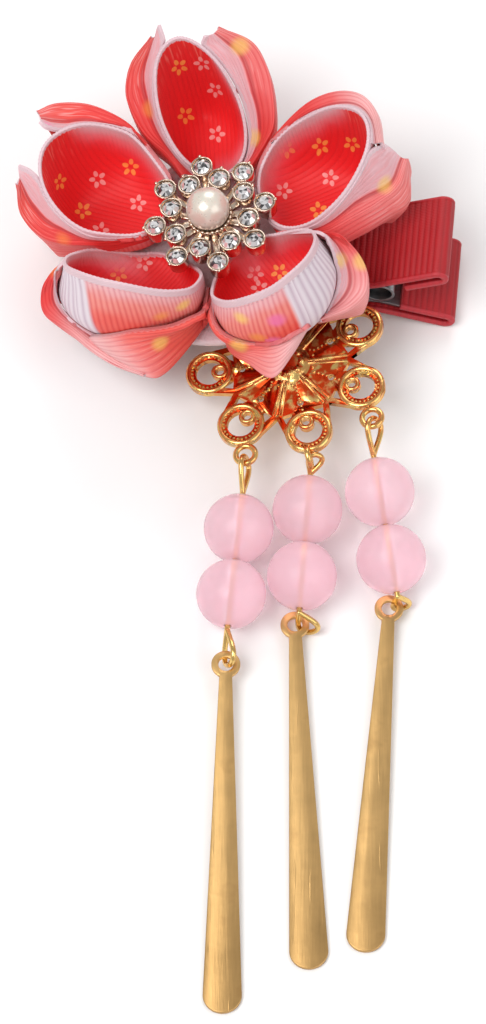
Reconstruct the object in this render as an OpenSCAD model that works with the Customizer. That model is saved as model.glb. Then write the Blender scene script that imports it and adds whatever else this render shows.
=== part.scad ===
// Kanzashi barrette: a ribbon flower with a rhinestone brooch on a ribbon-covered alligator clip,
// with a pierced gold ornament under the flower that carries three bead strands with flat drops.
// Everything lies on a table, z = 0, as it does when the clip is laid down: strands towards -Y.

/* [Clip] */
// Length of the jaws, from the hinge to the tip
jaw_len = 31; // [27:0.5:35]
// Length of the metal levers behind the hinge
lever_len = 8.5; // [7.5:0.5:11]
// Width of the metal plates
plate_w = 9; // [7:0.5:9.5]
// Thickness of the metal plates
plate_t = 0.5; // [0.4:0.1:0.7]
// Width of the ribbon that covers the clip
ribbon_w = 10.5; // [10:0.5:12]
// Thickness of the ribbon that covers the clip
ribbon_t = 1; // [0.8:0.1:1.2]
// Outside diameter of the rolled hinge barrel
barrel_d = 3.6; // [3.2:0.1:4]
// Rise of the upper lever behind the hinge, in degrees
upper_rise = 27; // [20:1:32]
// Drop of the lower lever behind the hinge, in degrees
lower_drop = 16.7; // [14:0.1:20]

/* [Flower] */
// Distance along the jaw from the hinge to the middle of the flower
flower_at = 18.05; // [16:0.05:20]
// Diameter of the felt backing
felt_d = 25.4; // [22:0.1:26]
// Thickness of the felt backing
felt_t = 1.2; // [1:0.1:2]
// Wall thickness of the folded ribbon
petal_wall = 1; // [0.8:0.1:1.4]

/* [Brooch] */
// Height of the stone faces above the felt
brooch_height = 7.5; // [7:0.1:9]
// Radius of the outer ring of stones
outer_ring = 6.45; // [6.2:0.05:7]
// Radius of the inner ring of stones
inner_ring = 4.6; // [4.4:0.05:4.8]
// Diameter of a stone
stone_d = 2; // [1.6:0.1:2]
// Diameter of the pearl
pearl_d = 5; // [4:0.1:5.2]

/* [Pierced ornament] */
// Distance from the middle of the ornament to the middle of a lobe
lobe_ring = 9.2; // [8.8:0.1:9.6]
// Outside radius of a lobe
lobe_r = 2.75; // [2.5:0.05:2.9]
// Thickness of the cast sheet
sheet_t = 0.7; // [0.6:0.1:0.9]

/* [Strands] */
// Diameter of a bead
bead_d = 8; // [7:0.1:8]
// Diameter of the eye-pin wire
wire_d = 0.65; // [0.5:0.05:0.7]
// Length of a flat drop from its hole to its end
drop_len = 43; // [36:1:46]
// Width of a flat drop at its lower end
drop_w = 4.4; // [3.6:0.1:5]
// Thickness of a flat drop
drop_t = 0.5; // [0.4:0.1:0.8]

/* [Hidden] */
$fn = 48;

// Moves the part so that its plan box is centred on the origin.
plan_shift = [0.48, 4.62, 0];
gap = 0.1;
red = [0.78, 0.09, 0.12];
petal_red = [0.86, 0.2, 0.19];
gold = [0.84, 0.66, 0.35];
rose_gold = [0.86, 0.7, 0.5];
steel = [0.55, 0.56, 0.57];
bead_pink = [0.97, 0.78, 0.82];

function unit(v) = v / norm(v);
function lerp(a, b, t) = a + (b - a) * t;

// Puts children in a frame with the given origin, x axis and rough z axis.
module in_frame(origin, x_axis, z_rough) {
    x = unit(x_axis);
    y = unit(cross(z_rough, x));
    z = cross(x, y);
    multmatrix([
        [x[0], y[0], z[0], origin[0]],
        [x[1], y[1], z[1], origin[1]],
        [x[2], y[2], z[2], origin[2]],
        [0, 0, 0, 1]
    ]) children();
}

// The clip. Both plates and their ribbons are bands at set distances from the hinge axis, seen
// from the side: a straight jaw run and a straight lever run that meet at a corner.
barrel_r = barrel_d / 2;
plate_step = 0.2;
face_r = barrel_r - plate_step;
back_r = face_r + plate_t;
ribbon_in = back_r + gap;
ribbon_out = ribbon_in + ribbon_t;
wrap_r = plate_t / 2 + gap + ribbon_t;
mid_r = face_r + plate_t / 2;
tip_gap = 0.15;
lever_low = lever_len * sin(lower_drop) + mid_r * cos(lower_drop) + wrap_r;
hinge_z = lever_low;
lower_tilt = asin(lever_low / norm([jaw_len, ribbon_out])) - atan2(ribbon_out, jaw_len);
jaw_tip_z = -jaw_len * sin(lower_tilt) - face_r * cos(lower_tilt) + tip_gap;
upper_tilt = asin(-jaw_tip_z / norm([jaw_len, face_r])) + atan2(face_r, jaw_len);
clip_yaw = 4.8;
hinge_at = [16, 29.9, hinge_z];
upper_return = 4.5;
lower_return = 5.6;
knuckle_w = 2.7;
knuckle_gap = 0.2;
knuckle_room = 0.15;
barrel_wall = 0.35;
barrel_bore = barrel_r - barrel_wall;
middle_w = plate_w - 2 * (knuckle_w + knuckle_gap);
pin_inset = 1.6;

function corner_at(r, a1, a2) = r / cos((a1 - a2) / 2) * [cos((a1 + a2) / 2), sin((a1 + a2) / 2)];
function run_end(r, normal, along, len) =
    r * [cos(normal), sin(normal)] + len * [cos(along), sin(along)];

// Side outline of a band between radii r0 and r1 from the hinge axis.
module band_outline(r0, r1, jaw_normal, jaw_dir, jaw, lever_normal, lever_dir, lever) {
    polygon([
        run_end(r0, jaw_normal, jaw_dir, jaw),
        corner_at(r0, jaw_normal, lever_normal),
        run_end(r0, lever_normal, lever_dir, lever),
        run_end(r1, lever_normal, lever_dir, lever),
        corner_at(r1, jaw_normal, lever_normal),
        run_end(r1, jaw_normal, jaw_dir, jaw)
    ]);
}

upper = [90 + upper_tilt, 180 + upper_tilt, 90 + upper_rise, upper_rise];
lower = [270 + lower_tilt, 180 + lower_tilt, 270 - lower_drop, -lower_drop];

module band(side, r0, r1, width) {
    rotate([90, 0, 0])
        translate([0, 0, -width / 2])
            linear_extrude(width)
                band_outline(r0, r1, side[0], side[1], jaw_len, side[2], side[3], lever_len);
}

// Ribbon seen from the side, in one outline: the cover band, the turn round the lever's end and
// the glued return on the inner side. facing is 1 on the upper side and -1 on the lower one.
turn_steps = 12;
function turned(v, a) = [v[0] * cos(a) - v[1] * sin(a), v[0] * sin(a) + v[1] * cos(a)];
function lever_turn(side, facing, r, from, to) = [
    for (i = [0:turn_steps])
        let (a = facing * lerp(from, to, i / turn_steps))
        turned([lever_len + r * cos(a), facing * mid_r + r * sin(a)], side[3])
];

module ribbon_outline(side, facing, return_len) {
    return_from = lever_len - return_len;
    polygon(concat(
        [run_end(ribbon_out, side[0], side[1], jaw_len), corner_at(ribbon_out, side[0], side[2])],
        lever_turn(side, facing, wrap_r, 90, -90),
        [turned([return_from, facing * (mid_r - wrap_r)], side[3]),
         turned([return_from, facing * (mid_r - wrap_r + ribbon_t)], side[3])],
        lever_turn(side, facing, wrap_r - ribbon_t, -90, 90),
        [corner_at(ribbon_in, side[0], side[2]), run_end(ribbon_in, side[0], side[1], jaw_len)]
    ));
}

module ribbon_cover(side, facing, return_len) {
    color(red) at_clip()
        rotate([90, 0, 0])
            translate([0, 0, -ribbon_w / 2])
                linear_extrude(ribbon_w) ribbon_outline(side, facing, return_len);
}

module at_clip() {
    translate(plan_shift + hinge_at) rotate([0, 0, -clip_yaw]) children();
}

module knuckle(width) {
    rotate([90, 0, 0])
        difference() {
            cylinder(r = barrel_r, h = width, center = true);
            cylinder(r = barrel_bore, h = width + 1, center = true);
        }
}

module clip_upper() {
    color(steel) at_clip() {
        difference() {
            union() {
                band(upper, face_r, back_r, plate_w);
                for (side = [-1, 1])
                    translate([0, side * (plate_w - knuckle_w) / 2, 0]) knuckle(knuckle_w);
            }
            // Room for the lower plate's middle knuckle.
            rotate([90, 0, 0]) cylinder(r = barrel_r + gap, h = middle_w + 2 * knuckle_room, center = true);
        }
    }
}

module clip_lower() {
    color(steel) at_clip()
        difference() {
            union() {
                band(lower, face_r, back_r, plate_w);
                knuckle(middle_w);
            }
            for (side = [-1, 1])
                translate([0, side * (plate_w - knuckle_w) / 2, 0])
                    rotate([90, 0, 0])
                        cylinder(r = barrel_r + gap, h = knuckle_w + 2 * knuckle_room, center = true);
        }
}

module hinge_pin() {
    color(steel) at_clip()
        rotate([90, 0, 0]) cylinder(r = barrel_bore - gap, h = plate_w - 2 * pin_inset, center = true);
}

module ribbon_upper() {
    ribbon_cover(upper, 1, upper_return);
}

module ribbon_lower() {
    ribbon_cover(lower, -1, lower_return);
}

// The flower's own frame: z along the felt's normal, azimuth 0 along the world's X.
felt_top = ribbon_out + gap + felt_t;
flower_side = -0.45;

module at_flower() {
    at_clip()
        translate([-flower_at * cos(upper_tilt) - felt_top * sin(upper_tilt), flower_side,
                   -flower_at * sin(upper_tilt) + felt_top * cos(upper_tilt)])
            rotate([0, -upper_tilt, 0])
                rotate([0, 0, clip_yaw]) children();
}

module felt_pad() {
    color([0.93, 0.85, 0.87]) at_flower()
        translate([0, 0, -felt_t]) cylinder(d = felt_d, h = felt_t);
}

// Petals. One row for each: direction, inner and outer ends of the cup's rim, half its width,
// rim height at both ends, how much the rim rises across its width, and how far its ears spread.
AZIMUTH = 0;
INNER = 1;
REACH = 2;
HALF = 3;
LOW = 4;
HIGH = 5;
LEAN = 6;
FLARE = 7;
petals = [
    [93, 7.5, 18.3, 5.4, 5, 16.5, 0.3, 1.5],
    [19, 5.5, 20.3, 6.6, 4.8, 14.4, 0, 1.2],
    [308, 4.4, 17.3, 7, 4.4, 15.5, 0, 1],
    [226, 5, 18, 6.7, 4.4, 18, 0.2, 1],
    [160, 5.4, 19.9, 7.1, 4.6, 13.8, 0.08, 1.3]
];
// Shape of the rim and of the wall below it: how egg-shaped in plan, how far it sags between its
// ends, and the power of the wall's curve (1 is round, lower is fuller).
egg = -0.1;
rim_sag = 1.6;
fullness = 2 / 3;
base_z = 0.15;
floor_t = 1.2;
wedge_gap = 0.15;
// Half of the angle to the next petal, counter-clockwise and clockwise.
LEFT_ROOM = 8;
RIGHT_ROOM = 9;
function turn_between(a, b) = ((b - a) % 360 + 360) % 360;
function with_room(i) =
    let (n = len(petals), az = petals[i][AZIMUTH])
    concat(petals[i], [turn_between(az, petals[(i + n - 1) % n][AZIMUTH]) / 2,
                       turn_between(petals[(i + 1) % n][AZIMUTH], az) / 2]);
function seen_from_other_side(p) =
    [p[AZIMUTH], p[INNER], p[REACH], p[HALF], p[LOW], p[HIGH], -p[LEAN], p[FLARE],
     p[RIGHT_ROOM], p[LEFT_ROOM]];

// Keeps a point inside the petal's own share of the circle.
function in_wedge(p, q) =
    let (room = max(0.3, q[0] * tan(q[1] > 0 ? p[LEFT_ROOM] : p[RIGHT_ROOM]) - wedge_gap))
    [q[0], min(max(q[1], -room), room), q[2]];

// A rim point at angle a round the cup: 0 at the outer end, 180 at the flower's middle.
function rim(p, a) =
    let (s = (1 + cos(a)) / 2, y = p[HALF] * sin(a) * (1 + egg * cos(a)),
         z = lerp(p[LOW], p[HIGH], s) - rim_sag * s * (1 - s) + p[LEAN] * y)
    in_wedge(p, [lerp(p[INNER], p[REACH], s), y, z]);

function keel(p) = [lerp(p[INNER], p[REACH], 0.5), 0, 0];
function outward(p, a) =
    let (c = rim(p, a), k = keel(p)) unit([c[0] - k[0], c[1] - k[1], 0]);

// A point of the cup's wall: f is 0 at the rim and 90 at the middle of the floor, inset moves it
// inwards, and low is the height of the floor's surface.
function wall_point(p, a, f, inset, low) =
    let (c = rim(p, a) - inset * outward(p, a), k = keel(p),
         g = pow(cos(f), fullness), h = 1 - pow(sin(f), fullness))
    [lerp(k[0], c[0], g), lerp(k[1], c[1], g), low + (c[2] - low) * h];

rim_steps = 28;
wall_angles = [0, 14, 30, 50, 75];

// Closed solid from a stack of rings, with a pole point at both ends.
module ring_stack(rings, first_pole, last_pole) {
    n = len(rings[0]);
    rows = len(rings);
    points = concat([for (ring = rings) for (q = ring) q], [first_pole, last_pole]);
    faces = concat(
        [for (i = [0:n - 1]) [rows * n, i, (i + 1) % n]],
        [for (r = [0:rows - 2]) for (i = [0:n - 1])
            for (half = [0, 1])
                half == 0 ? [r * n + i, (r + 1) * n + i, r * n + (i + 1) % n]
                          : [r * n + (i + 1) % n, (r + 1) * n + i, (r + 1) * n + (i + 1) % n]],
        [for (i = [0:n - 1]) [rows * n + 1, (rows - 1) * n + (i + 1) % n, (rows - 1) * n + i]]
    );
    polyhedron(points, faces, convexity = 6);
}

module cup(p) {
    turn = [for (i = [0:rim_steps - 1]) i * 360 / rim_steps];
    down = len(wall_angles) - 1;
    outer = [for (j = [down:-1:0]) [for (a = turn) wall_point(p, a, wall_angles[j], 0, base_z)]];
    inner = [for (j = [0:down])
        [for (a = turn) wall_point(p, a, wall_angles[j], petal_wall, base_z + floor_t)]];
    k = keel(p);
    ring_stack(concat(outer, inner), [k[0], 0, base_z], [k[0], 0, base_z + floor_t]);
}

// Ears: the ribbon's outer layer, one on each side. Rows run from the flower's middle outwards.
// A row holds the rim angle that it follows, its distance outside the wall, its top as a share of
// the rim's height, its foot as a share of the cup's plan, and how far it bulges between them.
EAR_ANGLE = 0;
EAR_OUT = 1;
EAR_TOP = 2;
EAR_FOOT = 3;
EAR_BULGE = 4;
ears = [
    [160, 0.1, 0.70, 0.80, 0.2],
    [130, 0.2, 0.78, 0.80, 0.7],
    [100, 0.6, 0.76, 0.82, 1.4],
    [72, 1.3, 0.72, 0.86, 2.1],
    [48, 2.0, 0.64, 0.92, 2.4]
];
// The ear's free end beyond the cup: a shoulder row and a tip row, each with its top, its foot
// and its bulge. The foot of the tip row lies on the fold that runs back down to the felt.
ear_ends = [
    [[21.4, 5.8, 9], [18.8, 5.7, 0.4], 1.8],
    [[23.2, 2.2, 9.2], [20.2, 4.7, 1.8], 0.8]
];

bulge_way = unit([0.45, 0.9, 0]);
foot_out = 0.4;
ear_wall = 0.9 * petal_wall;

function ear_row(p, top, foot, bulge) = [
    for (t = [0:0.25:1]) in_wedge(p, lerp(top, foot, t) + bulge_way * bulge * sin(180 * t))
];

function ear_rows(p) = concat(
    [for (e = ears)
        let (c = rim(p, e[EAR_ANGLE]), k = keel(p),
             top = c + e[EAR_OUT] * p[FLARE] * outward(p, e[EAR_ANGLE]))
        ear_row(p, [top[0], top[1], (c[2] - p[LEAN] * c[1]) * e[EAR_TOP]],
                [lerp(k[0], c[0], e[EAR_FOOT]), lerp(k[1], c[1], e[EAR_FOOT]) + foot_out, base_z],
                e[EAR_BULGE] * p[FLARE])],
    [for (e = ear_ends) ear_row(p, e[0], e[1], e[2] * p[FLARE])]
);

// Closed sheet between an outer and an inner grid of points.
module sheet(outer, inner) {
    n = len(outer);
    m = len(outer[0]);
    size = n * m;
    points = concat([for (row = outer) for (q = row) q], [for (row = inner) for (q = row) q]);
    quads = concat(
        [for (i = [0:n - 2]) for (j = [0:m - 2])
            [i * m + j, i * m + j + 1, (i + 1) * m + j + 1, (i + 1) * m + j]],
        [for (i = [0:n - 2]) for (j = [0:m - 2])
            [size + i * m + j, size + (i + 1) * m + j,
             size + (i + 1) * m + j + 1, size + i * m + j + 1]],
        [for (i = [0:n - 2]) [i * m, (i + 1) * m, size + (i + 1) * m, size + i * m]],
        [for (i = [0:n - 2])
            [i * m + m - 1, size + i * m + m - 1, size + (i + 1) * m + m - 1, (i + 1) * m + m - 1]],
        [for (j = [0:m - 2]) [j, size + j, size + j + 1, j + 1]],
        [for (j = [0:m - 2])
            [(n - 1) * m + j, (n - 1) * m + j + 1, size + (n - 1) * m + j + 1, size + (n - 1) * m + j]]
    );
    faces = [for (q = quads) for (half = [0, 1]) half == 0 ? [q[0], q[1], q[2]] : [q[0], q[2], q[3]]];
    polyhedron(points, faces, convexity = 6);
}

// Moves a point of the ear's outer face one wall in, towards the petal's middle.
function ear_inside(p, q) =
    q - ear_wall * unit([max(q[0] - keel(p)[0], 0.2 * q[0]), q[1], 0]);

module ear(p) {
    outer = ear_rows(p);
    inner = [for (row = outer) [for (q = row) ear_inside(p, q)]];
    sheet(outer, inner);
}

module petal(i) {
    p = with_room(i);
    color(petal_red) at_flower() rotate([0, 0, p[AZIMUTH]])
        resize([0, 0, 0])
            union() {
                cup(p);
                ear(p);
                mirror([0, 1, 0]) ear(seen_from_other_side(p));
            }
}

// The brooch: 8 outer and 8 inner cups on a star of arms, round a pearl in a seat.
stones = 8;
stone_phase = 8.6;
inner_rise = 0.3;
cup_r = stone_d / 2 + 0.28;
seat_r = stone_d / 2 + 0.06;
cup_h = 2;
cup_taper = 0.2;
seat_depth = 1.1;
grain_r = 0.2;
arm_from = 1.2;
arm_w = 0.8;
arm_h = 0.7;
hub_r = 2.5;
shank_r = 1.6;
shank_from = 0.3;
pearl_z = brooch_height + 1.16;

// Places a stone by number: even numbers stand in the outer ring, odd ones in the inner ring.
module at_stone(i) {
    ring = i % 2 == 0 ? outer_ring : inner_ring;
    rotate([0, 0, stone_phase + 180 * i / stones])
        translate([ring, 0, brooch_height + (i % 2) * inner_rise]) children();
}

// A stone's cup, turned: its floor, its slightly flared wall and one bead-like grain on the rim.
module stone_cup() {
    rotate_extrude()
        polygon([[0, -cup_h], [cup_r - cup_taper, -cup_h], [cup_r, 0], [seat_r, 0],
                 [seat_r, -seat_depth], [0, -seat_depth]]);
    translate([cup_r + 0.02, 0, -0.05]) sphere(r = grain_r);
}

module brooch_setting() {
    color(rose_gold) at_flower() {
        for (i = [0:2 * stones - 1]) {
            at_stone(i) stone_cup();
            ring = i % 2 == 0 ? outer_ring : inner_ring;
            rotate([0, 0, stone_phase + 180 * i / stones])
                translate([arm_from, -arm_w / 2, brooch_height - cup_h + 0.05])
                    cube([ring - arm_from, arm_w, arm_h]);
        }
        // Middle: a disc with the pearl's round seat, on a hidden shank glued to the felt.
        rotate_extrude()
            difference() {
                union() {
                    translate([0, brooch_height - cup_h]) square([hub_r, cup_h - 0.4]);
                    translate([0, shank_from]) square([shank_r, brooch_height - cup_h]);
                }
                translate([0, pearl_z]) circle(d = pearl_d + 0.1);
            }
    }
}

module pearl() {
    color([0.93, 0.88, 0.85]) at_flower() translate([0, 0, pearl_z]) sphere(d = pearl_d);
}

// Heights of a stone's parts, and its table and point as shares of its width.
table_z = 0.2;
crown_h = 0.35;
girdle_h = 0.08;
pavilion_h = 0.75;
table_share = 0.55;
culet_share = 0.12;

// A round-cut stone: table, eight crown facets, a thin girdle and eight pavilion facets.
module stone(i) {
    r = stone_d / 2;
    color([0.92, 0.94, 0.97]) at_flower() at_stone(i) {
        translate([0, 0, table_z - crown_h])
            cylinder(r1 = r, r2 = table_share * r, h = crown_h, $fn = 8);
        translate([0, 0, table_z - crown_h - girdle_h]) cylinder(r = r, h = girdle_h, $fn = 8);
        translate([0, 0, table_z - crown_h - girdle_h - pavilion_h])
            cylinder(r1 = culet_share * r, r2 = r, h = pavilion_h, $fn = 8);
    }
}

// The pierced ornament lies flat under the felt, on the flower's own plane.
lobes = 7;
lobe_phase = 181.5;
lobe_step = 360 / lobes;
ornament_at = [7.6, -15.4];
under_felt = 0.45;
sheet_top = -felt_t - under_felt;
// Middle disc, and how far from the middle two lobes part.
core_r = 6.6;
notch_r = 7.2;
// A lobe's round hole, the eyelet that stands in it, and the small hole near the middle.
lobe_hole_r = 1.6;
eyelet_at = 8;
eyelet_r = 0.9;
eyelet_bore = 0.45;
dot_at = 5.4;
dot_r = 0.4;
rim_wire = 0.35;
eyelet_wire = 0.22;
vein_from = 2.2;
vein_len = 4.6;
vein_r = 0.24;
vein_turn = 3.5;
// Where the sheet is snipped straight, so that it doesn't reach under the clip's ribbon.
snip_at = [-3, 9.6];
// Cast loops for the strands: angle round the ornament, distance from its middle, and whether the
// loop stands on edge.
LOOP_ANGLE = 0;
LOOP_AT = 1;
LOOP_STANDS = 2;
loops = [[245.7, 12.3, false], [280.5, 12.35, true], [320.8, 12.35, false]];
loop_r = 1.12;

module lobe_plan() {
    translate([lobe_ring, 0]) circle(r = lobe_r);
    notch = notch_r * [cos(lobe_step / 2), sin(lobe_step / 2)];
    polygon([[4, -1.7], [notch[0], -notch[1]], [lobe_ring - 0.3, 0.02 - lobe_r],
             [lobe_ring - 0.3, lobe_r - 0.02], [notch[0], notch[1]], [4, 1.7]]);
}

module lobe_holes() {
    difference() {
        translate([lobe_ring, 0]) circle(r = lobe_hole_r);
        translate([eyelet_at + 0.1, 0]) circle(r = eyelet_r);
    }
    translate([eyelet_at, 0]) circle(r = eyelet_bore);
    translate([dot_at, 0]) circle(r = dot_r);
    for (side = [-1, 1])
        polygon([[8.1, 2.1 * side], [6.5, 2.45 * side], [6.4, 1.15 * side]]);
}

module filigree() {
    color(gold) at_flower() translate([ornament_at[0], ornament_at[1], sheet_top]) {
        difference() {
            union() {
                translate([0, 0, -sheet_t]) linear_extrude(sheet_t)
                    difference() {
                        union() {
                            circle(r = core_r);
                            for (i = [0:lobes - 1]) rotate(lobe_phase + i * lobe_step) lobe_plan();
                        }
                        for (i = [0:lobes - 1]) rotate(lobe_phase + i * lobe_step) lobe_holes();
                    }
                for (i = [0:lobes - 1]) rotate([0, 0, lobe_phase + i * lobe_step]) {
                    translate([lobe_ring, 0, -0.15])
                        rotate_extrude() translate([lobe_r - rim_wire, 0]) circle(r = rim_wire);
                    translate([eyelet_at, 0, -0.1])
                        rotate_extrude() translate([eyelet_r - eyelet_wire, 0]) circle(r = eyelet_wire);
                    for (side = [-1, 1])
                        rotate([0, 0, lobe_step / 2 + side * vein_turn])
                            translate([vein_from, 0, -0.08])
                                rotate([0, 90, 0]) cylinder(r = vein_r, h = vein_len);
                }
            }
            translate([snip_at[0], snip_at[1], -2]) cube([12, 6, 4]);
        }
        hub();
        for (l = loops) cast_loop(l);
    }
}

// Domed boss with a ring of round flutes.
module hub() {
    dome_r = 4.2;
    dome_top = 0.85;
    boss_r = 2.6;
    flutes = 8;
    intersection() {
        translate([0, 0, dome_top - dome_r]) sphere(r = dome_r);
        translate([0, 0, -0.3]) cylinder(r = boss_r, h = 2);
    }
    for (i = [0:flutes - 1])
        rotate([0, 0, i * 360 / flutes]) translate([1.45, 0, 0.25]) sphere(r = 0.5);
}

module cast_loop(l) {
    rotate([0, 0, l[LOOP_ANGLE]]) translate([l[LOOP_AT], 0, -sheet_t / 2])
        rotate([l[LOOP_STANDS] ? 90 : 0, 0, 0])
            rotate_extrude() translate([loop_r, 0]) circle(r = rim_wire);
}

// Strands. For each: where its eye-pin passes the cast loop, both bead middles, where it passes
// the drop's hole, the middle of that hole, the drop's far end in plan, and how far the upper and
// lower eyes are turned about their own length.
LINK = 0;
BEAD_1 = 1;
BEAD_2 = 2;
HOOK = 3;
HOLE = 4;
DROP_TO = 5;
EYE_TURN = 6;
strands = [
    [[0.3, 4.1, 5.6], [-0.49, -4.58, 4.65], [-1.34, -12.67, 4], [-1.5, -21.05, 2.75],
     [-1.95, -20.7, 2.1], [-2.35, -63.6], [106, 70]],
    [[8.46, 3.57, 7.18], [7.34, -2.35, 5], [6.71, -10.35, 4], [7.8, -15.75, 0.6],
     [5.9, -15.2, 1.2], [7.5, -59.3], [144, -117]],
    [[15, 7.8, 8.1], [15.58, -0.38, 5.6], [16.86, -8.2, 4], [18.15, -12.6, 0.42],
     [16.6, -13.15, 1.3], [13.7, -55.2], [-58, -110]]
];
bead_r = bead_d / 2;
wire_r = wire_d / 2;
// From a bead to the start of the eye, and the bead's room round the wire.
eye_gap = 0.45;
bore_room = 0.15;
drop_ring_r = 1.65;
drop_hole_r = 0.85;
drop_neck_w = 1.36;

// An eye: a round loop of wire through two points, turned about the line between them.
module eye(from, to, turn) {
    along = unit(to - from);
    level = unit(cross(along, [0, 0, 1]));
    rough = cross(level, along) * cos(turn) + level * sin(turn);
    in_frame((from + to) / 2, along, rough)
        rotate_extrude() translate([norm(to - from) / 2, 0]) circle(r = wire_r);
}

module eyepin(s) {
    d = unit(s[BEAD_2] - s[BEAD_1]);
    reach = bead_r + eye_gap;
    top = s[BEAD_1] - reach * d;
    end = s[BEAD_2] + reach * d;
    color(gold) translate(plan_shift) {
        in_frame(top, d, [0, 0, 1]) rotate([0, 90, 0])
            translate([0, 0, -0.1]) cylinder(r = wire_r, h = norm(end - top) + 0.2);
        eye(s[LINK], top, s[EYE_TURN][0]);
        eye(end, s[HOOK], s[EYE_TURN][1]);
    }
}

// A round bead, turned about its hole.
module bead(s, which) {
    d = unit(s[BEAD_2] - s[BEAD_1]);
    bore = wire_r + bore_room;
    color(bead_pink) translate(plan_shift)
        in_frame(s[which], d, [0, 0, 1])
            rotate([0, 90, 0])
                rotate_extrude()
                    intersection() {
                        circle(r = bead_r);
                        translate([bore, -bead_r]) square([bead_d, bead_d]);
                    }
}

// A flat drop: ring, narrow neck and a blade that widens to a round end, resting on the table.
module drop(s) {
    run = [s[DROP_TO][0] - s[HOLE][0], s[DROP_TO][1] - s[HOLE][1]];
    slope = asin((s[HOLE][2] - drop_t / 2) / drop_len);
    round_at = drop_len - drop_w / 2;
    color(gold) translate(plan_shift + s[HOLE])
        rotate([0, 0, atan2(run[1], run[0])])
            rotate([0, slope, 0])
                translate([0, 0, -drop_t / 2])
                    linear_extrude(drop_t)
                        difference() {
                            union() {
                                circle(r = drop_ring_r);
                                polygon([[0, -drop_neck_w / 2], [round_at, -drop_w / 2],
                                         [round_at, drop_w / 2], [0, drop_neck_w / 2]]);
                                translate([round_at, 0]) circle(r = drop_w / 2);
                            }
                            circle(r = drop_hole_r);
                        }
}

petal(0);  // petal_1
petal(1);  // petal_2
petal(2);  // petal_3
petal(3);  // petal_4
petal(4);  // petal_5
felt_pad();
brooch_setting();
pearl();
stone(0);  // stone_01
stone(1);  // stone_02
stone(2);  // stone_03
stone(3);  // stone_04
stone(4);  // stone_05
stone(5);  // stone_06
stone(6);  // stone_07
stone(7);  // stone_08
stone(8);  // stone_09
stone(9);  // stone_10
stone(10);  // stone_11
stone(11);  // stone_12
stone(12);  // stone_13
stone(13);  // stone_14
stone(14);  // stone_15
stone(15);  // stone_16
clip_upper();
hinge_pin();
ribbon_upper();
clip_lower();
ribbon_lower();
filigree();
eyepin(strands[0]);  // eyepin_left
eyepin(strands[1]);  // eyepin_middle
eyepin(strands[2]);  // eyepin_right
bead(strands[0], BEAD_1);  // bead_left_1
bead(strands[0], BEAD_2);  // bead_left_2
bead(strands[1], BEAD_1);  // bead_middle_1
bead(strands[1], BEAD_2);  // bead_middle_2
bead(strands[2], BEAD_1);  // bead_right_1
bead(strands[2], BEAD_2);  // bead_right_2
drop(strands[0]);  // drop_left
drop(strands[1]);  // drop_middle
drop(strands[2]);  // drop_right
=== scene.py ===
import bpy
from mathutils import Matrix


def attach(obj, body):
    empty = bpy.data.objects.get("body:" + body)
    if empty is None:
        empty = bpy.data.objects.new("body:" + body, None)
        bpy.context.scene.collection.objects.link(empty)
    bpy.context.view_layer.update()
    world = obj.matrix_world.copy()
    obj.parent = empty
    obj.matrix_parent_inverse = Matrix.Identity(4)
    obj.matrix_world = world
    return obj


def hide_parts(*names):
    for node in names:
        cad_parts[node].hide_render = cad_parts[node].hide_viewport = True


bl_info = {
    "name": "Kanzashi Barrette",
    "version": (1, 0, 0),
    "blender": (4, 5, 0),
    "location": "View3D > Sidebar > Barrette",
    "description": "Dresses a ribbon-flower hair clip: petals, brooch, clip covers, pierced ornament and bead strands",
    "category": "Add Mesh",
}

from collections import namedtuple
from math import atan2, asin, cos, degrees, hypot, pi, radians, sin, sqrt, tan

import bmesh
import bpy
import numpy as np
from bpy.props import FloatProperty, FloatVectorProperty, IntProperty, PointerProperty
from mathutils import Matrix, Vector
from mathutils.bvhtree import BVHTree

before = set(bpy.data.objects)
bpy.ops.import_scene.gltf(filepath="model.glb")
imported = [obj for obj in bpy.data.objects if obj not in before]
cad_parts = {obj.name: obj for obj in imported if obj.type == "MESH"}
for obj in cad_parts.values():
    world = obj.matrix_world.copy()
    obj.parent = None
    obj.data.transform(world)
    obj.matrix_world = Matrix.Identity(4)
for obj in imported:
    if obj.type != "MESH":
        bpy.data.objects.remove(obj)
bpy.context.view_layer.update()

MM = 0.001
FLOWER = "flower_and_upper_jaw"
LOWER_JAW = "lower_jaw"

# ---------------------------------------------------------------- sizes shared with the part, in mm
JAW_LEN = 31.0
LEVER_LEN = 8.5
RIBBON_W = 10.5
RIBBON_T = 1.0
BARREL_R = 1.8
PLATE_T = 0.5
FACE_R = BARREL_R - 0.2
BACK_R = FACE_R + PLATE_T
RIBBON_IN = BACK_R + 0.1
RIBBON_OUT = RIBBON_IN + RIBBON_T
WRAP_R = PLATE_T / 2 + 0.1 + RIBBON_T
MID_R = FACE_R + PLATE_T / 2
UPPER_RISE = 27.0
LOWER_DROP = 16.7
HINGE_Z = LEVER_LEN * sin(radians(LOWER_DROP)) + MID_R * cos(radians(LOWER_DROP)) + WRAP_R
LOWER_TILT = degrees(asin(HINGE_Z / hypot(JAW_LEN, RIBBON_OUT)) - atan2(RIBBON_OUT, JAW_LEN))
JAW_TIP_Z = -JAW_LEN * sin(radians(LOWER_TILT)) - FACE_R * cos(radians(LOWER_TILT)) + 0.15
UPPER_TILT = degrees(asin(-JAW_TIP_Z / hypot(JAW_LEN, FACE_R)) + atan2(FACE_R, JAW_LEN))
CLIP_YAW = 4.8
PLAN_SHIFT = Vector((0.48, 4.62, 0.0))
HINGE_AT = Vector((16.0, 29.9, HINGE_Z))
FLOWER_AT = 18.05
FLOWER_SIDE = -0.45
FELT_D = 25.4
FELT_T = 1.2
FELT_TOP = RIBBON_OUT + 0.1 + FELT_T
BROOCH_HEIGHT = 7.5
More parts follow.
